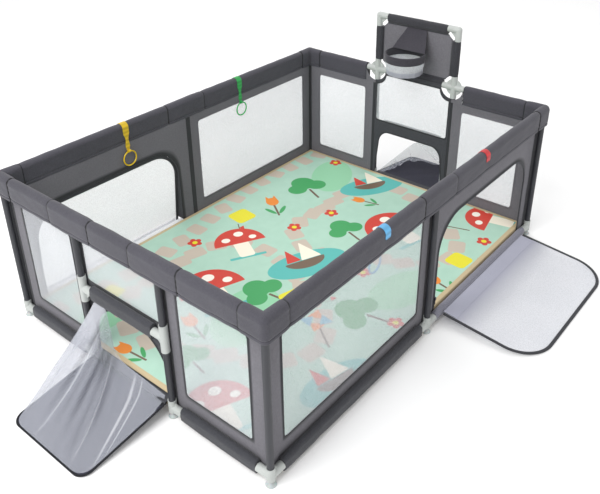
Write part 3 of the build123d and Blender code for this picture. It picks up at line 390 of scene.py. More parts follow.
mesh_thick, mesh_tuck = 0.0012, 0.003
window_mesh = knitted_mesh("white_knitted_mesh", "C9CCD1", "DCDEE2", 0.26, 0.38)
windows = {f"{wall}_bay_mesh": (wall, *long_window, 0) for wall in ("front", "back")}
windows.update({f"{wall}_bay_mesh_{side}": (wall, *limits, 0)
                for wall in ("left", "right") for side, limits in short_windows.items()})
windows.update({f"{wall}_goal_mesh": (wall, *goal_windows[wall], hollow)
                for wall, hollow in (("left", 0), ("right", goal_hollow))})
for seed, (name, (wall, start, end, low, high, hollow)) in enumerate(windows.items()):
    rise = np.linspace(low - mesh_tuck, high + mesh_tuck, 30)
    across = np.linspace(-1, 1, 44)
    half = (end - start) / 2 + mesh_tuck - chord(hollow, high - rise)
    along = (start + end) / 2 + across * half[:, None]
    height = np.broadcast_to(rise[:, None], along.shape)
    slack = (1 - across ** 2) * (np.sin(np.pi * (rise - low) / (high - low)) ** 2)[:, None]
    depth = cloth_depth + 0.0016 * slack * ripple(along, height, (0.4, 0.23, 0.15), seed + 40)
    grid = slab(on_wall(wall, along, height, depth), walls[wall][2], mesh_thick)
    node = name if name in cad_nodes else ("goal_meshes" if "goal" in name else "short_bay_meshes")
    made = sew(name, [grid], window_mesh, "pen", node)


# Bottom wraps: dark cloth sleeves round the bottom rails, closed under the tube and slightly slack, so they
# crease along their length. The two door bays have a paler sleeve with the sewn lip the door turns on.
def outward_of(path):
    """Unit normals of a closed outline that runs anticlockwise: the tangent turned a quarter clockwise."""
    tangent = np.roll(path, -1, 0) - np.roll(path, 1, 0)
    tangent /= np.linalg.norm(tangent, axis=1)[:, None]
    return np.stack([tangent[:, 1], -tangent[:, 0]], -1)


def capped(rings):
    """Closes both ends of a run of rings, each with a fan to the middle of its end ring."""
    ends = [np.repeat(ring.mean(1, keepdims=True), rings.shape[1], 1) for ring in (rings[:1], rings[-1:])]
    return np.concatenate([ends[0], rings, ends[1]])


def slack_sleeve(wall, outline, start, end, crease, seed, upright=False):
    """Sleeve along a tube of a wall, or up it: its section every 12 mm, pushed along its normals by seeded
    creases that die away at both ends, where the sleeve is drawn in by 0.8 mm."""
    along = np.linspace(start, end, max(8, int((end - start) / 0.012)))
    girth = np.linspace(0, 1, len(outline), endpoint=False) * 0.15
    inside = 1 - np.exp(-np.minimum(along - start, end - along) / 0.014)[:, None]
    long_fold = ripple(along[:, None] * 0.35, girth, (0.06, 0.045, 0.09), seed)
    short_fold = ripple(along[:, None], girth * 1.5, (0.05, 0.085, 0.033), seed + 7)
    push = inside * (crease * (0.6 * long_fold + 0.4 * short_fold) + 0.0004) - 0.0008 * (1 - inside)
    section = outline + outward_of(outline) * push[..., None]
    along, height = np.broadcast_to(along[:, None], push.shape), section[..., 1]
    if upright:
        along, height = height, along
    return capped(on_wall(wall, along, height, section[..., 0]))


def obround(width, height, middle, count=36):
    """Anticlockwise section of a flat-sided tube: two half circles joined by straight sides."""
    turn = np.linspace(-np.pi, 0, 20)
    radius = width / 2
    low = np.stack([radius * np.cos(turn), radius * np.sin(turn) - (height / 2 - radius)], -1)
    return even_points(np.concatenate([low, -low, low[:1]]), count, last=False) + [0, middle]


wrap_cloth = woven_cloth("charcoal_wrap_cloth", "2E2F34", "3B3C42", "34353A")
rail_low, wrap_wide, wrap_tall, sill_tall = 0.040, 0.029, 0.058, 0.042
long_wrap, short_wrap = (0.055, half_x - 0.055), (goal_half + 0.055, half_y - 0.055)
bay_runs = [(wall, -long_wrap[1], -long_wrap[0]) for wall in ("front", "back")]
bay_runs += [(wall, *sorted((side * short_wrap[0], side * short_wrap[1])))
             for wall in ("left", "right") for side in (1, -1)]
shells = [slack_sleeve(wall, obround(wrap_wide, wrap_tall, rail_low), start, end, 0.0012, seed)
          for seed, (wall, start, end) in enumerate(bay_runs)]
made = sew("bottom_wraps", shells, wrap_cloth, "pen", "bottom_wraps")

sill_cloth = woven_cloth("lavender_sill_cloth", "6C6C78", "82828E", "ECEDF0", sheen=0.25)
lip_half, lip_out, lip_in, lip_low, lip_high = arch_half - 0.025, 0.0176, 0.012, 0.0425, 0.0515
lip_outline = even_points(np.array([[-lip_out, lip_low], [-lip_in, lip_low], [-lip_in, lip_high],
                                    [-lip_out, lip_high], [-lip_out, lip_low]]), 24, last=False)
lip_along = np.linspace(arch_middle - lip_half, arch_middle + lip_half, 60)[:, None]
shells, pale = [], []
for seed, wall in enumerate(("front", "back")):
    shells.append(slack_sleeve(wall, obround(wrap_wide, sill_tall, rail_low), *long_wrap, 0.0010, seed + 30))
    shells.append(capped(on_wall(wall, lip_along, lip_outline[:, 1], lip_outline[:, 0])))
    pale += [np.full(grid.shape[:2], wall == "back") for grid in shells[-2:]]
made = sew("door_sill_wraps", shells, sill_cloth, "pen", "door_sill_wraps", {"trim": pale})

# Crossbar wraps: a deeper sleeve of the same dark cloth round each goal crossbar, tall enough to hold the
# goal net's head seam.
bar_high, bar_wrap_tall, bar_wrap_half = 0.351, 0.062, goal_half - 0.056
section = obround(wrap_wide, bar_wrap_tall, bar_high, 48)
shells = [slack_sleeve(wall, section, -bar_wrap_half, bar_wrap_half, 0.0013, seed + 50)
          for seed, wall in enumerate(("left", "right"))]
made = sew("crossbar_wraps", shells, wrap_cloth, "pen", "crossbar_wraps")


# Rail covers: foam-padded cloth sleeves round the top rail, with a sewn lip below where the wall fabric is sewn
# in. They swell between their seams, pucker at each end, and give way under the pull straps; the groove over
# the lip and the rings at each end are painted near-black as shade.
def cover_outline(half):
    """Anticlockwise section of a padded cover: a lip, a stitched groove, a side and a half circle on top."""
    inset = np.array([half, 0.0030, 0.0016, 0.0010, 0.0010, 0.0016, 0.0034, 0.0034, 0.0014, 0.0006])
    rise = np.array([0, 0, 0.0008, 0.0030, 0.0100, 0.0118, 0.0130, 0.0136, 0.0150, 0.0175])
    lip = np.stack([half - inset, rise + cover_foot], -1)
    side = np.stack([np.full(8, half - 0.0003), np.linspace(cover_foot + 0.023, rail_high - 0.004, 8)], -1)
    turn = np.linspace(0, np.pi / 2, 18)
    top = np.stack([half * np.cos(turn), rail_high + half * np.sin(turn)], -1)
    right = np.concatenate([lip, side, top])
    return np.concatenate([right, right[-2:0:-1] * [-1, 1]])


def padded_section(outline, along, start, end, seed, strap=None):
    """Sections of padded cloth, pushed outward by a crown between seams, slow dents, short puckers near each
    seam, and a squeeze that falls away as a bell curve from a strap."""
    girth = np.concatenate([[0], np.cumsum(np.linalg.norm(np.diff(outline, axis=0), axis=1))])
    inside = np.minimum(along - start, end - along)[:, None]
    crown = 0.0012 * (1 - np.exp(-inside / 0.02)) - 0.0014 * np.exp(-inside / 0.006)
    dents = 0.0008 * ripple(along[:, None], girth, (0.27, 0.16, 0.38), seed)
    folds = 0.0005 * ripple(along[:, None] * 0.5, girth, (0.05, 0.034), seed + 3)
    pucker = 0.0006 * np.sin(2 * np.pi * girth / 0.021 + seed) * np.exp(-inside / 0.025)
    push = crown + (dents + folds) * np.clip(inside / 0.03, 0, 1) + pucker
    squeeze = 0.0 if strap is None else np.exp(-((np.abs(along[:, None]) - strap) / 0.030) ** 2)
    push = push * (1 - squeeze) - 0.0004 * squeeze
    section = outline + outward_of(outline) * push[..., None]
    return section[..., 0], section[..., 1]


def seam_shade(outline, rings):
    """Painted seam shade on a cover: the groove over its lip, and the rings next to each end, are darkened
    where shade falls.
    """
    groove = np.abs(outline[:, 1] - cover_foot - 0.0133) < 0.0010
    marks = np.broadcast_to(groove, (rings, len(outline))).astype(float)
    marks[[0, 1, 2, -3, -2, -1]] = 1.0
    return marks


cover_cloth = woven_cloth("slate_cover_cloth", "3B3A42", "47464E", "1E1E22")
cover_foot, strap_place, cover_gap, cap_gap, cuff, hem = 0.588, 0.360, 0.1155, 0.0865, 0.0018, 0.004
long_half, short_half, tee_half, tee_reach = 0.0197, 0.0199, 0.0208, 0.115
cover_ends = {"front": (cover_gap, half_x - cap_gap), "back": (cover_gap, half_x - cap_gap),
              "left": (goal_half + cover_gap, half_y - cap_gap), "right": (goal_half + 0.061, half_y - cap_gap)}
sides = {wall: [(start, end), (-end, -start)] for wall, (start, end) in cover_ends.items()}
cover_runs = {
    "long_rail_covers": [(wall, *run, long_half, strap_place)
                         for wall in ("front", "back") for run in sides[wall]],
    "short_rail_covers": [("left", cover_gap - goal_half, goal_half - cover_gap, short_half, None)]
                         + [(wall, *run, short_half, None)
                            for wall in ("left", "right") for run in sides[wall]],
    "tee_covers": [(wall, middle - tee_reach, middle + tee_reach, tee_half, None)
                   for wall, middle in (("front", 0), ("back", 0), ("left", goal_half), ("left", -goal_half))]}
for name, runs in cover_runs.items():
    shells, marks = [], []
    for seed, (wall, start, end, half, strap) in enumerate(runs):
        outline = cover_outline(half)
        inner_run = np.linspace(start + hem, end - hem, max(12, int((end - start) / 0.01)))
        along = np.concatenate([[start, start + cuff], inner_run, [end - cuff, end]])
        across, height = padded_section(outline, along, start, end, 60 + seed, strap)
        shells.append(capped(on_wall(wall, along[:, None], height, across)))
        marks.append(seam_shade(outline, len(shells[-1])))
    made = sew(name, shells, cover_cloth, "pen", name, {"trim": marks})

# Corner caps: the same padded cloth sewn into an L over each top corner joint, rounded outside, with a
# plain mitre inside.
cap_reach, cap_half = 0.086, 0.0219
cap_outline = cover_outline(cap_half)
arm_run = np.concatenate([[cap_reach, cap_reach - cuff], np.linspace(cap_reach - hem, 0, 12)])
corner_turn = np.linspace(0, np.pi / 2, 15)[1:-1]
cap_along = np.concatenate([cap_reach - arm_run, cap_reach + corner_turn * 0.03,
                            cap_reach + 0.047 + arm_run[::-1]])
reach = np.concatenate([arm_run, 0 * corner_turn, arm_run[::-1]])[:, None]
turn = np.concatenate([0 * arm_run, corner_turn, 0 * arm_run + np.pi / 2])[:, None]
rows, first, second = np.arange(len(cap_along))[:, None], len(arm_run), len(arm_run) + len(corner_turn)
shells, marks = [], []
for seed, (sx, sy) in enumerate(((-1, -1), (1, -1), (1, 1), (-1, 1))):
    across, height = padded_section(cap_outline, cap_along, cap_along[0], cap_along[-1], 80 + seed)
    inside, outside = np.clip(-across, 0, None), np.clip(across, 0, None)
    drawn = inside + (cap_reach - inside) * reach / cap_reach
    toward_x = np.where(rows < first, drawn, inside) - outside * np.sin(turn)
    toward_y = np.where(rows >= second, drawn, inside) - outside * np.cos(turn)
    shells.append(capped(np.stack([sx * (half_x - toward_x), sy * (half_y - toward_y), height], -1)))
    # The caps' groove and end rings are darkened as painted shade, as on the covers.
    marks.append(seam_shade(cap_outline, len(shells[-1])))
made = sew("corner_caps", shells, cover_cloth, "pen", "corner_caps", {"trim": marks})


# Doors: an arched mesh leaf on each long wall, bound in dark tape and hinged on a corded hem beside its
# sill. The front leaf is unzipped and lies out on the floor, the back one is closed.
def leaf_frame(wall, middle, hinge_height, tilt):
    """Maps (across, reach, lift) on a leaf to the frame: reach runs away from the hinge, tilted from level."""
    outward = walls[wall][2]
    away = outward * np.cos(tilt) + up * np.sin(tilt)
    above = up * np.cos(tilt) - outward * np.sin(tilt)
    hinge = on_wall(wall, middle, hinge_height, -hinge_out)

    def place(across, reach, lift):
        across, reach, lift = np.broadcast_arrays(across, reach, lift)
        return hinge + across[..., None] * walls[wall][1] + reach[..., None] * away + lift[..., None] * above

    return place, above


def arch_line(half, start, end, radius, out, count):
    """Open line up one side of an arch, round both corners and down the other, count even points. The whole
    line lies out from the arch by a distance."""
    half, end, radius = half + out, end + out, radius + out
    turn = np.linspace(0, np.pi / 2, 40)
    right = np.stack([half - radius + radius * np.cos(turn), end - radius + radius * np.sin(turn)], -1)
    return even_points(np.concatenate([[[half, start]], right, right[::-1] * [-1, 1], [[-half, start]]]), count)


def line_ways(line):
    """Unit tangents of an open line, and the same turned a quarter clockwise."""
    tangent = np.gradient(line, axis=0)
    tangent /= np.linalg.norm(tangent, axis=1)[:, None]
    return tangent, np.stack([tangent[:, 1], -tangent[:, 0]], -1)


def bound_edge(place, line, width, thick):
    """Folded tape along a line on a leaf: an oval section, width across the line and thick across the leaf."""
    turn = np.linspace(0, 2 * np.pi, 16, endpoint=False)
    squared = [np.sign(f) * np.abs(f) ** 0.6 for f in (np.cos(turn), np.sin(turn))]
    flat = line[:, None] + line_ways(line)[1][:, None] * (squared[0] * width / 2)[None, :, None]
    return capped(place(flat[..., 0], flat[..., 1], np.broadcast_to(squared[1] * thick / 2, flat.shape[:2])))


def corded_hem(place, half, depth, thick, stations):
    """Hem along the hinge: a section that is round about the cord and flat from there to its depth."""
    turn = np.linspace(np.pi / 4, 2 * np.pi - np.pi / 4, 20)
    cord = np.stack([cord_radius * np.cos(turn), cord_radius * np.sin(turn)], -1)
    strip = np.stack([np.linspace(0.006, depth, 8), np.full(8, thick / 2)], -1)
    outline = np.concatenate([strip[::-1], cord, strip * [1, -1]])
    return capped(place(np.linspace(-half, half, stations)[:, None], outline[:, 0], outline[:, 1]))


def arched_sheet(half, start, tip, radius, counts, short=0.0):
    """(across, reach) grid of a leaf's cloth. Where its arch begins both sides draw in by
    radius - sqrt(radius^2 - (reach into the arch)^2), and that end can stop short of the tip."""
    rows, bends, columns = counts
    curve = tip - radius * (1 - np.sin(np.linspace(0, np.pi / 2, bends)[1:])) - short
    reach = np.concatenate([np.linspace(start, tip - radius, rows), curve])
    narrow = radius - chord(radius, np.clip(reach - tip + radius, 0, None))
    across = np.linspace(-1, 1, columns) * (half - narrow)[:, None]
    return across, np.broadcast_to(reach[:, None], across.shape)


def slab_part(values):
    """Vertex values of a slab from those of its middle surface."""
    values = np.concatenate([values, values[:, ::-1]], 1)
    return [values[:1], values, values[-1:]]


hinge_high, hinge_out, cord_radius, tip_high, leaf_gap = 0.045, 0.0204, 0.0025, 0.0025, 0.0381
leaf_half, leaf_radius, rim_wide, rim_thick = arch_half - 0.003, arch_radius - 0.003, 0.014, 0.0046
leaf_lean = np.arctan2(leaf_gap, arch_top - hinge_high)
leaf_long = (arch_top - 0.003 - hinge_high) / np.cos(leaf_lean)
leaf_tilts = {"front": -np.arcsin((hinge_high - tip_high) / leaf_long), "back": np.pi / 2 + leaf_lean}
# The front hem and the front mesh's trim tone A3A4B3 are painted shade, the wall's shadow on the leaf that lies
# out on the floor; the back hem keeps its pale F2F3F5.
hem_tones_front_shaded, hem_depths = {"front": "A3A4B3", "back": "F2F3F5"}, {"front": 0.060, "back": 0.022}
door_cloths = {"front": knitted_mesh("pale_door_mesh", "E4E6EC", "F2F3F7", 0.40, 0.54, "A3A4B3", 0.96),
               "back": knitted_mesh("sheer_door_mesh", "ECEEF2", "F6F7FA", 0.30, 0.43, "A3A4B3", 0.96)}
for seed, (wall, tilt) in enumerate(leaf_tilts.items()):
    place, above = leaf_frame(wall, arch_middle, hinge_high, tilt)
    hem_deep = hem_depths[wall]
    rim_line = arch_line(leaf_half, 0.004, leaf_long, leaf_radius, -rim_wide / 2, 190)
    rim = bound_edge(place, rim_line, rim_wide, rim_thick)
    seam = corded_hem(place, lip_half + 0.004, hem_deep, 0.003, 60)
    binding_tape = woven_cloth(f"dark_{wall}_binding_tape", "2A2B30", "37383D", hem_tones_front_shaded[wall])
    sew(f"{wall}_door_binding", [rim, seam], binding_tape, f"{wall}_door_leaf", f"{wall}_door_binding",
        {"trim": [np.zeros(rim.shape[:2]), np.ones(seam.shape[:2])]})

    inner, tip, bend = (size - rim_wide + mesh_tuck for size in (leaf_half, leaf_long, leaf_radius))
    across, reach = arched_sheet(inner, hem_deep - mesh_tuck, tip, bend, (30, 26, 60))
    run = np.clip((reach - hem_deep) / (tip - hem_deep), 0, 1)
    tight = np.clip(1 - (across / inner) ** 2, 0, 1) * np.sin(np.pi * run)
    lift = tight * (0.0022 * ripple(across, reach, (0.33, 0.2, 0.12), seed + 90) - 0.003)
    # Painted shadow: on the front leaf lying out on the floor, the mesh next to the hem takes the lavender-grey
    # tone A3A4B3, easing to its own tone over 12 cm, for the wall's shadow.
    painted_wall_shadow = np.clip(1 - (reach - hem_deep) / 0.12, 0, 1) ** 1.5 * (wall == "front")
    made = sew(f"{wall}_door_mesh", [slab(place(across, reach, lift), above, mesh_thick)], door_cloths[wall],
               f"{wall}_door_leaf", f"{wall}_door_mesh", {"trim": slab_part(painted_wall_shadow)})

# Zips: dark coil zips sewn round both arches, each with an enamelled slider. Teeth are 2 mm apart on the real
# one and drawn 3.7 mm apart so that they show. A strip of tape closes the gap behind the shut back leaf.
zip_wide, zip_thick, zip_foot, tape_face = 0.008, 0.0012, 0.064, 0.0156
teeth_foot, stagger, tooth_half, tooth_low, tooth_top = 0.066, 0.0007, [0.0010, 0.0015], -0.0002, 0.0013
zip_cloth = woven_cloth("black_zip_tape", "2C2D31", "3A3B40", "55565C", sheen=0.1)
for wall in ("front", "back"):
    def on_panel(across, reach, lift, wall=wall):
        """Point of the arch face: across and reach in the wall, lift outward from the tape's middle."""
        return on_wall(wall, np.asarray(across) + arch_middle, reach, tape_face - np.asarray(lift))

    zip_line = arch_line(arch_half, zip_foot, arch_top, arch_radius, zip_wide / 2, 240)
    tape = bound_edge(on_panel, zip_line, zip_wide, zip_thick)
    teeth_line = arch_line(arch_half, teeth_foot, arch_top, arch_radius, zip_wide / 2, 400)
    tangent, side = line_ways(teeth_line)
    middle = teeth_line + side * np.where(np.arange(len(teeth_line)) % 2, stagger, -stagger)[:, None]
    ring = np.array([[-1, -1], [1, -1], [1, 1], [-1, 1]]) * tooth_half
    flat = middle[:, None] + tangent[:, None] * ring[None, :, :1] + side[:, None] * ring[None, :, 1:]
    bottom, top = (on_panel(flat[..., 0], flat[..., 1], np.full(flat.shape[:2], lift))
                   for lift in (tooth_low, tooth_top))
    ends = [np.repeat(face.mean(1, keepdims=True), 4, 1) for face in (bottom, top)]
    blocks = np.stack([ends[0], bottom, top, ends[1]], 1)
    shells, tooth_part = [tape, *blocks], [np.zeros(tape.shape[:2]), np.ones(blocks.shape[:3])]
    if wall == "back":
        gusset = arch_line(arch_half, teeth_foot, arch_top, arch_radius, -0.0015, 240)
        gap = leaf_gap * (1 - (gusset[:, 1] - hinge_high) / (arch_top - hinge_high))
        sweep = 0.0020 * np.linspace(-1, 1, 8) + np.clip(gap, 0.004, None)[:, None] * np.linspace(0, 1, 8)
        side = line_ways(gusset)[1]
        faces = [on_panel(*((gusset[:, None, k] + side[:, None, k] * off) + 0 * sweep for k in (0, 1)),
                          sweep - 0.0021) for off in (0.0012, -0.0012)]
        shells.append(capped(np.concatenate([faces[0], faces[1][:, ::-1]], 1)))
        tooth_part.append(np.zeros(shells[-1].shape[:2]))
    sew(f"{wall}_door_zip", shells, zip_cloth, "pen", "door_zips", {"trim": tooth_part})

enamel = hard_finish("dark_enamelled_zinc", (colour("3C3D42"), colour("77787E")), 0.006, 4.0,
                     {"Metallic": 0.6, "Roughness": 0.38}, contrast=(0.45, 0.75))
finish_node(enamel, "front_zip_slider", "back_zip_slider")

# Goal sills and flaps: a dark strip of doubled cloth along the foot of each goal mouth, and a grey cloth flap
# bound in dark tape that turns on its corded edge and lies out on the floor.
sill_half, sill_in, sill_foot, sill_top, sill_fold = goal_half - 0.021, 0.0159, 0.047, 0.060, 0.003
sill_outline = even_points(np.array([
    [-lip_out, sill_foot], [-lip_out + sill_fold, sill_foot], [-lip_out + sill_fold, sill_top - sill_fold],
    [sill_in, sill_top - sill_fold], [sill_in, sill_top], [-lip_out, sill_top], [-lip_out, sill_foot]]),
    60, last=False)
flap_hinge, flap_half, flap_long, flap_corner, flap_rim = 0.052, goal_half - 0.017, 0.364, 0.045, 0.008
flap_tilt = -np.arcsin((flap_hinge - tip_high) / flap_long)
flap_cloth = woven_cloth("grey_flap_cloth", "2B2B35", "42424F", "26272B", sheen=0.04, gloss=0.15)
for wall in ("left", "right"):
    along = np.linspace(-sill_half, sill_half, 40)[:, None]
    sill = capped(on_wall(wall, along, sill_outline[:, 1], sill_outline[:, 0]))
    made = sew(f"{wall}_goal_sill", [sill], wrap_cloth, "pen", "goal_sills")

    place, above = leaf_frame(wall, 0.0, flap_hinge, flap_tilt)
    across, reach = arched_sheet(flap_half - 0.003, 0.004, flap_long, flap_corner, (26, 12, 46), short=0.0005)
    tight = np.clip(1 - (across / flap_half) ** 2, 0, 1) * np.sin(np.pi * np.clip(reach / flap_long, 0, 1))
    lift = tight * (0.0016 * ripple(across, reach, (0.16, 0.23, 0.09), 120) - 0.001)
    rim_line = arch_line(flap_half, 0.003, flap_long, flap_corner, -flap_rim / 2, 130)
    shells = [slab(place(across, reach, lift), above, cloth_thick),
              bound_edge(place, rim_line, flap_rim, rim_thick), corded_hem(place, sill_half, 0.012, 0.0024, 40)]
    trims = [np.full(grid.shape[:2], dark) for grid, dark in zip(shells, (0, 1, 1))]
    made = sew(f"{wall}_goal_flap", shells, flap_cloth, f"{wall}_flap", f"{wall}_goal_flap",
               {"trim": trims})


# Goal nets: sheer white net sewn along the three free edges of each flap and gathered at one end of its
# crossbar, from where it fans out in long folds and slumps on the flap.
def rounded(points, radii):
    """An open line of points with each inner corner replaced by a quadratic curve that leaves the sides at
    its radius from the corner: (1 - t)^2 * before + 2 t (1 - t) * corner + t^2 * after."""
    points, part = np.array(points), np.linspace(0, 1, 12)[:, None]
    line = [points[:1]]
    for k, radius in enumerate(radii):
        corner = points[k + 1]
        before, after = ((other - corner) / np.linalg.norm(other - corner) * radius + corner
                         for other in (points[k], points[k + 2]))
        line.append((1 - part) ** 2 * before + 2 * part * (1 - part) * corner + part ** 2 * after)
    return np.concatenate(line + [points[-1:]])


def grid_normals(grid):
    """Unit normals of a grid: the cross product of its two directions of change."""
    normal = np.cross(np.gradient(grid, axis=0), np.gradient(grid, axis=1))
    return normal / np.maximum(np.linalg.norm(normal, axis=2, keepdims=True), 1e-9)


sheer_net = knitted_mesh("sheer_white_net", "BFC2CE", "CDD0DA", 0.18, 0.28, "F4F5F9", 0.60)
net_head, net_half, net_foot, net_thick, net_lift = 0.3160, goal_half - 0.037, 0.110, 0.0010, 0.0032
net_start = [[-net_half, net_foot], [-net_half, net_head]]
net_heads = {"left": (net_start + [[-0.100, net_head], [-0.085, 0.095], [net_half, 0.072]],
                      (0.05, 0.025, 0.07), 0.018),
             "right": (net_start + [[-0.036, net_head], [net_half, 0.074]], (0.06, 0.05), 0.040)}
foot_half, foot_far, foot_near = flap_half - 0.0065, flap_long - 0.0065, 0.045
foot_line = even_points(rounded([[-foot_half, foot_near], [-foot_half, foot_far], [foot_half, foot_far],
                                 [foot_half, foot_near]], (0.06, 0.06)), 180)
net_creases = ((0.16, 0.04, 0.010, 0.4), (0.40, 0.02, 0.006, 0.4), (0.785, -0.06, 0.010, 0.7),
               (0.835, -0.06, 0.006, 0.6), (0.60, 0.03, 0.005, 0.3))
for seed, wall in enumerate(("left", "right")):
    place, above = leaf_frame(wall, 0.0, flap_hinge, flap_tilt)
    corners, bends, slump = net_heads[wall]
    head_line = even_points(rounded(corners, bends), 180)
    top = on_wall(wall, head_line[:, 0], head_line[:, 1], 0.0)
    bottom = place(foot_line[:, 0], foot_line[:, 1], net_lift)
    fall = np.linspace(0, 1, 50)[:, None]
    around = np.linspace(0, 1, len(head_line))[None]
    folds = (np.cos(2 * np.pi * (9 * around + 0.5 * np.sin(4 * around + 2 * seed) + 0.3 * fall))
             + 0.7 * np.cos(2 * np.pi * (16 * around - 0.4 * fall + 0.3 * seed))
             + 0.5 * ripple(around, 0.5 * fall, (0.11, 0.23), seed + 130))
    droop = np.sin(np.pi * fall ** 0.8)[..., None]
    ruled = top[None] * (1 - fall[..., None]) + bottom[None] * fall[..., None] - slump * droop * up
    normal = grid_normals(ruled)
    normal *= np.sign((normal * (above + walls[wall][2])).sum(2, keepdims=True))
    grid = ruled + normal * (0.0042 * folds * np.sin(np.pi * fall) ** 0.6 * (0.45 + 0.75 * fall))[..., None]
    lift = ((grid - place(0.0, 0.0, 0.0)) * above).sum(2)
    rests = net_lift + 0.0012 * (1 + folds / 2) * np.sin(np.pi * fall)
    grid = grid + above * np.clip(rests - lift, 0, None)[..., None]
    creased = 0.6 * np.clip(1 - fall / 0.45, 0, 1) * np.clip(1.3 - 2 * around, 0, 1)
    for start, lean, wide, bright in net_creases:
        bowed = around - start - lean * fall - 0.10 * fall * (1 - fall)
        creased = creased + bright * np.exp(-(bowed / wide) ** 2) * np.sin(np.pi * fall) ** 0.5
    made = sew(f"{wall}_goal_net", [slab(grid, normal, net_thick)], sheer_net, None, f"{wall}_goal_net",
               {"trim": slab_part(np.clip(creased, 0, 1))})
    tuple(on_wall(wall, 0.0, 0.290, -0.010))
    tuple(place(0.0, 0.335, 0.004))
    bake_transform(made)

# Tower fabric: a stretched grey backboard whose edges are sewn into dark channels, one round each tower tube,
# and cut away in a curve at every joint.
tower_high, tower_foot, channel_wide, channel_deep = 0.946, 0.717, 0.031, 0.044
channel_shift = (channel_deep - channel_wide) / 2
sleeve_cloth = woven_cloth("dark_channel_cloth", "2A2A2F", "36363C", "34353A")
bar_runs = ((rail_high + channel_shift, goal_half - 0.061), (tower_high - channel_shift, goal_half - 0.055))
shells = [slack_sleeve("right", obround(channel_wide, channel_deep, high), -reach, reach, 0.0009, seed + 140)
          for seed, (high, reach) in enumerate(bar_runs)]
shells += [slack_sleeve("right", obround(channel_wide, channel_deep, side * (goal_half - channel_shift)),
                        tower_foot, tower_high - 0.055, 0.0009, seed + 150, upright=True)
           for seed, side in enumerate((-1, 1))]
made = sew("tower_sleeves", shells, sleeve_cloth, "pen", "tower_sleeves")

board_cloth = woven_cloth("grey_backboard_cloth", "605E64", "737177", "3C3C42", sheen=0.25)
board_low, board_high, board_half = 0.6885, tower_high - 0.0285, goal_half - 0.0285
board_cut, board_thick, board_hem = 0.058, 0.0028, 0.006
ease = np.sin(np.linspace(-np.pi / 2, np.pi / 2, 60))
height = (board_low + board_high) / 2 + ease * (board_high - board_low) / 2
edge = np.full(len(height), board_half)
for joint_high in (rail_high, tower_high):
    edge = np.minimum(edge, goal_half - chord(board_cut, height - joint_high))
along = np.linspace(-1, 1, 60) * edge[:, None]
rise = np.broadcast_to(height[:, None], along.shape)
taut = np.clip(1 - (along / board_half) ** 2, 0, 1) * np.cos(np.pi / 2 * ease)[:, None]
depth = 0.0012 * taut * ripple(along, rise, (0.19, 0.12, 0.3), 160)
margin = np.minimum(edge[:, None] - np.abs(along), np.minimum(rise - board_low, board_high - rise))
grid = slab(on_wall("right", along, rise, depth), walls["right"][2], board_thick)
made = sew("backboard", [grid], board_cloth, "pen", "backboard",
           {"trim": slab_part(margin < board_hem)})


# Hoop: a stiff band covered in dark cloth, tied to the backboard by a patch and hung from a tapered yoke.
# A basket of pale mesh with a denser lower band hangs under it, open below.
def about_hoop(radius, height):
    """Points round the hoop's axis, one row for each of its turns."""
    return np.stack([hoop_x + radius * np.cos(hoop_turn), radius * np.sin(hoop_turn),
                     np.broadcast_to(height, radius.shape)], -1)


hoop_cloth = woven_cloth("dark_hoop_cloth", "2F2D34", "3B3941", "26262B")
hoop_x, hoop_high, hoop_deep, hoop_radius, hoop_wall = half_x - 0.1058, 0.820, 0.040, 0.100, 0.006
hoop_turn = np.linspace(0, 2 * np.pi, 120, endpoint=False)[:, None]
band = corner_path(hoop_radius - hoop_wall, hoop_radius, hoop_high - hoop_deep, hoop_high, (0.0028,) * 4, 10)
swell = 0.0005 * ripple(hoop_turn * hoop_radius, band[:, 1], (0.05, 0.08), 170)
grid = about_hoop(band[:, 0] + swell - 0.0005, band[:, 1])
seam_part = (np.abs(band[:, 1] - (hoop_high - 0.006)) < 0.0012) * np.ones_like(hoop_turn)
sew("hoop_ring", [(grid, True, True)], hoop_cloth, "hoop", "hoop_ring", {"trim": seam_part})

basket_top, basket_deep, basket_cut = 0.7797, 0.062, 0.58
basket_rim, basket_taper, basket_thick = 0.097, 0.009, 0.0014
fall = np.concatenate([np.linspace(0, 1, 20), np.linspace(1, 0, 20)])
inner = np.repeat([0, basket_thick], 20)
pleats = 0.0012 * np.cos(16 * hoop_turn) * fall + 0.0008 * np.cos(7 * hoop_turn + 1.0) * fall
radius = basket_rim - basket_taper * fall ** 1.3 - inner + pleats - 0.002 * np.sin(np.pi * fall) ** 2
basket_mesh = knitted_mesh("pale_basket_mesh", "DDE0E6", "F2F3F6", 0.34, 0.50, "A9ABB5", 0.75)
made = sew("hoop_basket", [(about_hoop(radius, basket_top - basket_deep * fall), True, True)], basket_mesh,
           "hoop", "hoop_basket", {"trim": (fall > 0.62) * np.ones_like(hoop_turn)})

patch = corner_path(-0.030, 0.030, hoop_high - 0.035, hoop_high - 0.005, (0.004,) * 4, 14)
patch_middle = np.array([0, hoop_high - 0.020])
pad = np.array([[0.0, 0.0040], [0.7, 0.0040], [0.94, 0.0034], [1.0, 0.0022], [1.0, 0.0006], [0.0, 0.0003]])
shape = patch_middle + (patch - patch_middle)[:, None] * pad[None, :, :1]
grid = on_wall("right", shape[..., 0], shape[..., 1], np.broadcast_to(0.0015 + pad[:, 1], shape.shape[:2]))
sew("hoop_patch", [(grid, True, False)], hoop_cloth, "pen", "hoop_patch")

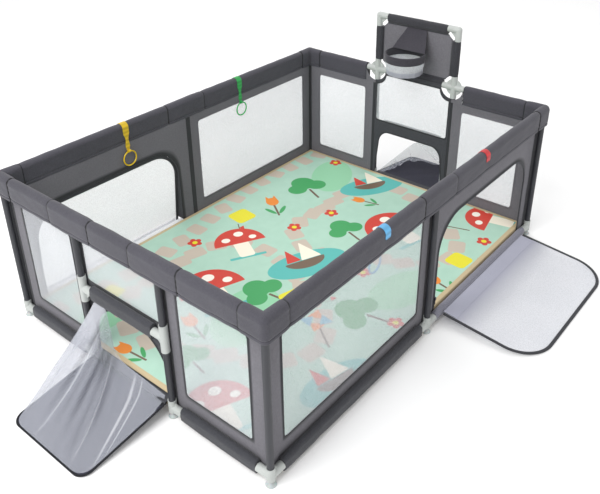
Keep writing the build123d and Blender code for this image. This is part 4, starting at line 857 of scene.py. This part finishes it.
yoke_top = np.array([half_x - 0.0031, 0, tower_high - 0.032])
yoke_foot = np.array([hoop_x + 0.030, 0, hoop_high + 0.0012])
yoke_head_half, yoke_foot_half, yoke_thick = 0.055, 0.0915, 0.0024
yoke_way = yoke_top - yoke_foot
yoke_long = float(np.linalg.norm(yoke_way))
fall = np.linspace(0, 1, 30)[:, None]
across = np.linspace(-1, 1, 34)
sideways = (yoke_head_half + (yoke_foot_half - yoke_head_half) * fall) * across
face = np.array([-yoke_way[2], 0, yoke_way[0]])
face /= np.linalg.norm(face)
waves = ripple(sideways, yoke_long * fall, (0.07, 0.11), 180)
sag = -0.004 * np.sin(np.pi * fall) * (1 - across ** 2) + 0.0016 * np.sin(np.pi * fall) * waves
spine = yoke_top + (yoke_foot - yoke_top) * fall
middle = spine[:, None] + np.stack([0 * sideways, sideways, 0 * sideways], -1) + face * sag[..., None]
made = sew("hoop_yoke", [slab(middle, face, yoke_thick)], hoop_cloth, None, "hoop_yoke")
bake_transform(made)


# Pull straps and rings: coloured polypropylene webbing over each long rail, cut short outside and ending
# inside in a loop that holds a moulded ABS ring, glossy with faint flow marks and rubbed patches.
def webbing(name, code):
    """Softly shining polypropylene webbing, shaded in slow bands down its length. The wave has 20 radians to
    a unit, so its bands lie 2 pi * 3 mm apart."""
    strap = bare_material(name)
    where = add(strap, "TexCoord", "Object")
    ribs = add(strap, "TexWave", "Fac", {"Vector": where, "Scale": 1 / 0.003 / 20, "Distortion": 0.6},
               bands_direction="Z")
    shade = add(strap, "Mix", 2, {0: ribs, 6: colour(code, 0.72), 7: colour(code)}, data_type="RGBA")
    ridge = add(strap, "Bump", "Normal", {"Height": ribs, "Strength": 0.4, "Distance": 0.0005})
    return surface(strap, {"Base Color": shade, "Roughness": 0.6, "Sheen Weight": 0.15, "Normal": ridge})


strap_in, strap_thick, strap_wide, strap_waist, strap_tail = 0.0203, 0.0020, 0.032, 0.014, 0.6400
loop_high, loop_mid = 0.551, 0.0058
mid = strap_in + strap_thick / 2
over = np.linspace(np.pi, 0, 40)[1:-1]
loop_turn = np.linspace(np.pi, 3 * np.pi, 40)[1:]
strap_line = even_points(np.concatenate([
    [[-mid, strap_tail], [-mid, rail_high]],
    np.stack([mid * np.cos(over), rail_high + mid * np.sin(over)], -1),
    [[mid, rail_high], [mid, loop_high]],
    np.stack([mid + loop_mid + loop_mid * np.cos(loop_turn), loop_high + loop_mid * np.sin(loop_turn)], -1)]),
    170)
pinched = np.interp(strap_line[:, 1], [0.557, 0.572, 0.585, 0.602, 0.615, 0.634],
                    [strap_waist, 0.024, 0.022, 0.015, 0.018, strap_wide])
tail_end = np.clip(np.arange(len(strap_line)) / 5, 0, 1)
half_wide = pinched / 2 * (0.78 + 0.22 * np.sqrt(tail_end * (2 - tail_end)))
edge_turn = np.linspace(0, 2 * np.pi, 20, endpoint=False)
wide_part = np.sign(np.cos(edge_turn)) * np.abs(np.cos(edge_turn)) ** 0.25
thick_part = np.sign(np.sin(edge_turn)) * np.abs(np.sin(edge_turn)) ** 0.5 * (strap_thick - 0.0002) / 2
flat = strap_line[:, None] - line_ways(strap_line)[1][:, None] * thick_part[None, :, None]
strap_colours = {"yellow": ("back", 1, "DDB90F"), "green": ("back", -1, "25A84E"),
                 "red": ("front", 1, "D0242B"), "blue": ("front", -1, "62B2E4")}
for name, (wall, side, code) in strap_colours.items():
    along = side * strap_place + half_wide[:, None] * wide_part
    grid = capped(on_wall(wall, along, flat[..., 1], flat[..., 0]))
    made = sew(f"{name}_strap", [grid], webbing(f"{name}_webbing", code), "pen", f"{name}_strap")
    ring_plastic = hard_finish(f"{name}_abs", (colour(code, 0.88), colour(code)), 0.015, 4.0, {"IOR": 1.54},
                               gloss=(0.15, 0.32))
    finish_node(ring_plastic, f"{name}_ring")

# Play mat: a 65 mm soft foam mat with a printed film on top, laid inside the walls. The print is a plain
# garden in flat colours: trails of stepping stones, ponds with boats, mushrooms, tulips, kites and bushes.
mat_x, mat_y, mat_high, mat_round = half_x - 0.0198, half_y - 0.0198, 0.065, 0.005
x_line, y_line = (np.concatenate([[-side], np.linspace(-side, mat_round - side, 4),
                                  np.linspace(mat_round - side, side - mat_round, count)[1:-1],
                                  np.linspace(side - mat_round, side, 4), [side]])
                  for side, count in ((mat_x, 330), (mat_y, 236)))
mx, my = np.meshgrid(x_line, y_line, indexing="ij")
edge_gap = np.minimum(mat_x - np.abs(mx), mat_y - np.abs(my))
fallen = np.clip(1 - edge_gap / mat_round, 0, 1)
swell = 0.0003 * ripple(mx, my, (0.5, 0.33, 0.8), 200) * (1 - fallen)
mz = mat_high - mat_round * (1 - np.sqrt(1 - fallen ** 2)) + swell
mz[[0, -1]] = 0.0
mz[:, [0, -1]] = 0.0


def turned(cx, cy, turn):
    """Mat coordinates about a centre, turned by an angle."""
    dx, dy = mx - cx, my - cy
    return dx * np.cos(turn) + dy * np.sin(turn), dy * np.cos(turn) - dx * np.sin(turn)


def oval(cx, cy, wide, tall, turn):
    """Distance outside an ellipse, nearly: (its scaled radius - 1) times its smaller half width."""
    px, py = turned(cx, cy, turn)
    return (np.hypot(px / wide, py / tall) * 2 - 1) * min(wide, tall) / 2


def dome(cx, cy, wide, tall, turn):
    """Distance outside the upper half of an ellipse that stands on its flat side."""
    return np.maximum(oval(cx, cy, wide, 2 * tall, turn), -turned(cx, cy, turn)[1])


def block(cx, cy, wide, tall, turn):
    """Distance outside a rectangle with soft corners."""
    px, py = turned(cx, cy, turn)
    soft = 0.2 * min(wide, tall)
    qx, qy = np.abs(px) - wide / 2 + soft, np.abs(py) - tall / 2 + soft
    return np.hypot(np.clip(qx, 0, None), np.clip(qy, 0, None)) + np.minimum(np.maximum(qx, qy), 0) - soft


def wedge(cx, cy, wide, tall, turn):
    """Distance outside a triangle that stands on its base: the largest of the three edge distances."""
    px, py = turned(cx, cy, turn)
    side = (np.abs(px) * tall + (py - tall / 2) * wide / 2) / np.hypot(wide / 2, tall)
    return np.maximum(side, -py - tall / 2)


inks = {"leaf": "93CDA6", "stone": "C3B7A8", "pond": "57B5AE", "stem": "6F5B4A", "bush": "3F9E5C",
        "cream": "F1E9D6", "orange": "E5872F", "red": "CB3F31", "yellow": "E3DA2E", "sky": "5FA9C4",
        "dot": "F4EDE0", "edge": "C2B08C"}
layers = {ink: np.full(mx.shape, 9.0) for ink in inks}


def print_motif(parts, cx, cy, size=1.0, turn=0.0):
    """Prints (layer, shape, x, y, wide, tall, tilt) parts in units of the motif's size, turned together."""
    for layer, shape, x, y, wide, tall, tilt in parts:
        px = cx + size * (x * np.cos(turn) - y * np.sin(turn))
        py = cy + size * (x * np.sin(turn) + y * np.cos(turn))
        layers[layer] = np.minimum(layers[layer], shape(px, py, wide * size, tall * size, turn + tilt))


mushroom = [("cream", block, 0, -0.26, 0.30, 0.52, 0), ("red", dome, 0, -0.06, 1.0, 0.52, 0),
            ("dot", oval, -0.24, 0.12, 0.17, 0.15, 0), ("dot", oval, 0.05, 0.26, 0.19, 0.17, 0),
            ("dot", oval, 0.28, 0.08, 0.15, 0.13, 0), ("pond", block, 0, -0.53, 0.7, 0.07, 0)]
tulip = [("stem", block, 0, -0.22, 0.05, 0.56, 0), ("bush", oval, 0.14, -0.26, 0.10, 0.36, -0.6),
         ("bush", oval, -0.14, -0.26, 0.10, 0.36, 0.6), ("orange", oval, 0, 0.16, 0.30, 0.36, 0),
         ("orange", wedge, -0.09, 0.34, 0.13, 0.2, 0.15), ("orange", wedge, 0.09, 0.34, 0.13, 0.2, -0.15)]
kite = [("yellow", block, 0, 0.1, 0.5, 0.5, np.pi / 4), ("stem", block, 0, -0.48, 0.025, 0.5, 0.25),
        ("red", wedge, 0.03, -0.40, 0.15, 0.12, 1.8), ("red", wedge, 0.10, -0.62, 0.15, 0.12, 1.4)]
boat = [("pond", oval, 0, -0.16, 1.3, 0.62, 0), ("cream", wedge, 0.13, 0.18, 0.34, 0.46, 0),
        ("red", wedge, -0.16, 0.13, 0.24, 0.34, 0), ("stem", dome, 0, -0.06, 0.66, 0.2, np.pi)]
bush = [("stem", block, 0, -0.36, 0.05, 0.4, 0), ("bush", oval, 0, 0.12, 0.5, 0.5, 0),
        ("bush", oval, -0.22, -0.06, 0.4, 0.36, 0), ("bush", oval, 0.22, -0.06, 0.4, 0.36, 0)]
pinwheel = [("stem", block, 0, -0.4, 0.04, 0.7, 0)] + [
    (ink, wedge, 0.17 * np.cos(a), 0.17 * np.sin(a) + 0.1, 0.3, 0.3, a)
    for a, ink in zip(np.arange(4) * np.pi / 2, ("sky", "orange") * 2)]
daisy = [("red", oval, 0.3 * np.cos(a), 0.3 * np.sin(a), 0.36, 0.36, 0)
         for a in np.arange(5) * 2 * np.pi / 5] + [("yellow", oval, 0, 0, 0.34, 0.34, 0)]
ring_stone, row_stone = ([("stone", block, 0, 0, *size, 0)] for size in ((0.078, 0.096), (0.072, 0.092)))

angle = 2 * np.pi * np.linspace(0, 1, 23, endpoint=False)
for cx, cy, wide, tall, wave in ((-0.42, 0.03, 0.36, 0.42, 0.05), (0.46, -0.12, 0.34, 0.36, 0.06)):
    for k, (a, r) in enumerate(zip(angle, 1 + wave * np.sin(3 * angle) / wide)):
        print_motif(ring_stone, cx + r * wide * np.cos(a), cy + r * tall * np.sin(a),
                    turn=a + 0.25 * np.sin(5 * k))
for k, x in enumerate(np.linspace(-0.90, 0.90, 17)):
    print_motif(row_stone, x, 0.56 + 0.06 * np.sin(3.2 * x), turn=0.3 * np.sin(4 * k))
layers["leaf"] = np.minimum.reduce([oval(*spot) for spot in (
    (-0.44, -0.10, 0.40, 0.26, 0.3), (0.74, 0.36, 0.36, 0.22, 0.5), (0.10, -0.50, 0.36, 0.20, -0.2),
    (-0.80, 0.36, 0.24, 0.18, 0.2))])
layers["edge"] = edge_gap - 0.020
garden = (
    (mushroom, ((-0.40, 0.14, 0.30, -0.35), (0.50, -0.20, 0.30, -0.25), (0.86, -0.52, 0.24, 0.2),
                (-0.06, 0.30, 0.25, -0.5), (-0.86, -0.36, 0.26, -0.4))),
    (boat, ((0.02, -0.02, 0.30, -0.4), (-0.50, -0.58, 0.26, -0.2), (0.80, 0.16, 0.28, -0.5))),
    (tulip, ((-0.62, 0.02, 0.20, -0.3), (0.30, 0.40, 0.22, -0.6), (0.62, 0.06, 0.17, 0.2),
             (0.24, -0.60, 0.20, -0.2), (-0.88, 0.10, 0.18, 0.1))),
    (kite, ((0.10, 0.44, 0.22, -0.9), (-0.22, -0.20, 0.22, 0.5), (0.46, -0.60, 0.20, 0.7),
            (-0.70, 0.44, 0.18, -0.6))),
    (bush, ((-0.28, -0.04, 0.24, 0.1), (0.34, -0.02, 0.22, -0.3), (0.56, 0.40, 0.26, -0.4),
            (-0.14, -0.44, 0.26, 0.2), (-0.76, -0.10, 0.20, -0.2), (0.88, -0.22, 0.22, 0.1))),
    (pinwheel, ((-0.48, 0.40, 0.22, -0.4), (0.66, -0.36, 0.20, 0.3), (-0.30, -0.36, 0.20, -0.6))),
    (daisy, [(x, y, 0.075) for x, y in ((-0.20, 0.46), (-0.56, -0.30), (0.20, 0.18), (0.42, 0.12),
                                        (0.66, -0.60), (0.10, -0.30), (-0.10, -0.60), (0.88, 0.44))]))
for motif, spots in garden:
    for spot in spots:
        print_motif(motif, *spot)

foam_print = bare_material("printed_foam_film")
where = add(foam_print, "TexCoord", "Object")
cloudy = add(foam_print, "TexNoise", "Fac", {"Vector": where, "Scale": 1 / 0.05, "Detail": 3.0})
emboss = add(foam_print, "TexNoise", "Fac", {"Vector": where, "Scale": 1 / 0.004, "Detail": 2.0})
printed = add(foam_print, "Mix", 2, {0: cloudy, 6: colour("A4C9B6"), 7: colour("B2D5C3")}, data_type="RGBA")
for layer, code in inks.items():
    distance = add(foam_print, "Attribute", "Fac", attribute_name=layer)
    inked = add(foam_print, "MapRange", "Result",
                {"Value": distance, "From Min": 0.0008, "From Max": -0.0008})
    printed = add(foam_print, "Mix", 2, {0: inked, 6: printed, 7: colour(code)}, data_type="RGBA")
film = add(foam_print, "Bump", "Normal", {"Height": emboss, "Strength": 0.15, "Distance": 0.0004})
surface(foam_print, {"Base Color": printed, "Roughness": 0.55, "IOR": 1.48, "Normal": film})
mat = sew("play_mat", [(np.stack([mx, my, mz], -1), False, False)], foam_print, "pen", "play_mat",
          layers, fill=True)

# Studio: a white floor and white surroundings, one large soft key from the left,
# and a weaker fill behind.
floor_reach, floor_high = 30.0, -0.0006
floor_mesh = bpy.data.meshes.new("studio_floor")
floor_mesh.from_pydata([(x * floor_reach, y * floor_reach, floor_high)
                        for x, y in ((-1, -1), (1, -1), (1, 1), (-1, 1))], [], [(0, 1, 2, 3)])
floor_mesh.materials.append(surface(bare_material("white_studio_floor"), {
    "Base Color": colour("F4F4F4"), "Roughness": 0.7, "Emission Color": colour("FFFFFF"),
    "Emission Strength": 0.07}))
floor = new_object("studio_floor", floor_mesh)

world = bpy.data.worlds.new("white_studio")
world.use_nodes = True
world.node_tree.nodes["Background"].inputs["Color"].default_value = colour("FFFFFF")
world.node_tree.nodes["Background"].inputs["Strength"].default_value = 0.85
bpy.context.scene.world = world


def stand(made, right, top, back, spot):
    """Places a lamp or camera by the directions of its three axes and its spot."""
    turn = np.eye(4)
    turn[:3] = np.stack([right, top, back, spot], -1)
    made.matrix_world = Matrix(turn.tolist())


for name, spot, size, watts in (("key_light", (-3.9, 0.1, 4.2), 3.5, 215),
                                ("fill_light", (2.6, 2.6, 4.4), 4.0, 60)):
    lamp = bpy.data.lights.new(name, "AREA")
    lamp.size, lamp.energy = size, watts
    aim = np.array(spot) / np.linalg.norm(spot)
    side = np.cross(up, aim)
    side /= np.linalg.norm(side)
    stand(new_object(name, lamp), side, np.cross(aim, side), aim, spot)

# Camera at the photograph's place: found by fitting the posts, joints and rails
# to their places in it.
view_turn, view_rise, view_roll = np.radians((-49.967, 27.715, -0.820))
focal, drift, sink, view_gap, picture_wide, sensor = 730.17, -2.44, -75.0, 3.5823, 600, 36.0
look_at = np.array([0.3138, 0.2498, 0.3])
back_way = np.array([np.sin(view_turn) * np.cos(view_rise), -np.cos(view_turn) * np.cos(view_rise),
                     np.sin(view_rise)])
right_way = np.cross(-back_way, up)
right_way /= np.linalg.norm(right_way)
top_way = np.cross(back_way, right_way)
lens = bpy.data.cameras.new("photo_camera")
lens.sensor_width, lens.lens = sensor, sensor * focal / picture_wide
lens.shift_x, lens.shift_y = -drift / picture_wide, sink / picture_wide
camera = new_object("photo_camera", lens)
stand(camera, np.cos(view_roll) * right_way + np.sin(view_roll) * top_way,
      np.cos(view_roll) * top_way - np.sin(view_roll) * right_way, back_way, look_at + back_way * view_gap)
bpy.context.scene.camera = camera
bpy.context.scene.view_settings.view_transform = "Standard"
bpy.context.scene.cycles.transparent_max_bounces = 24
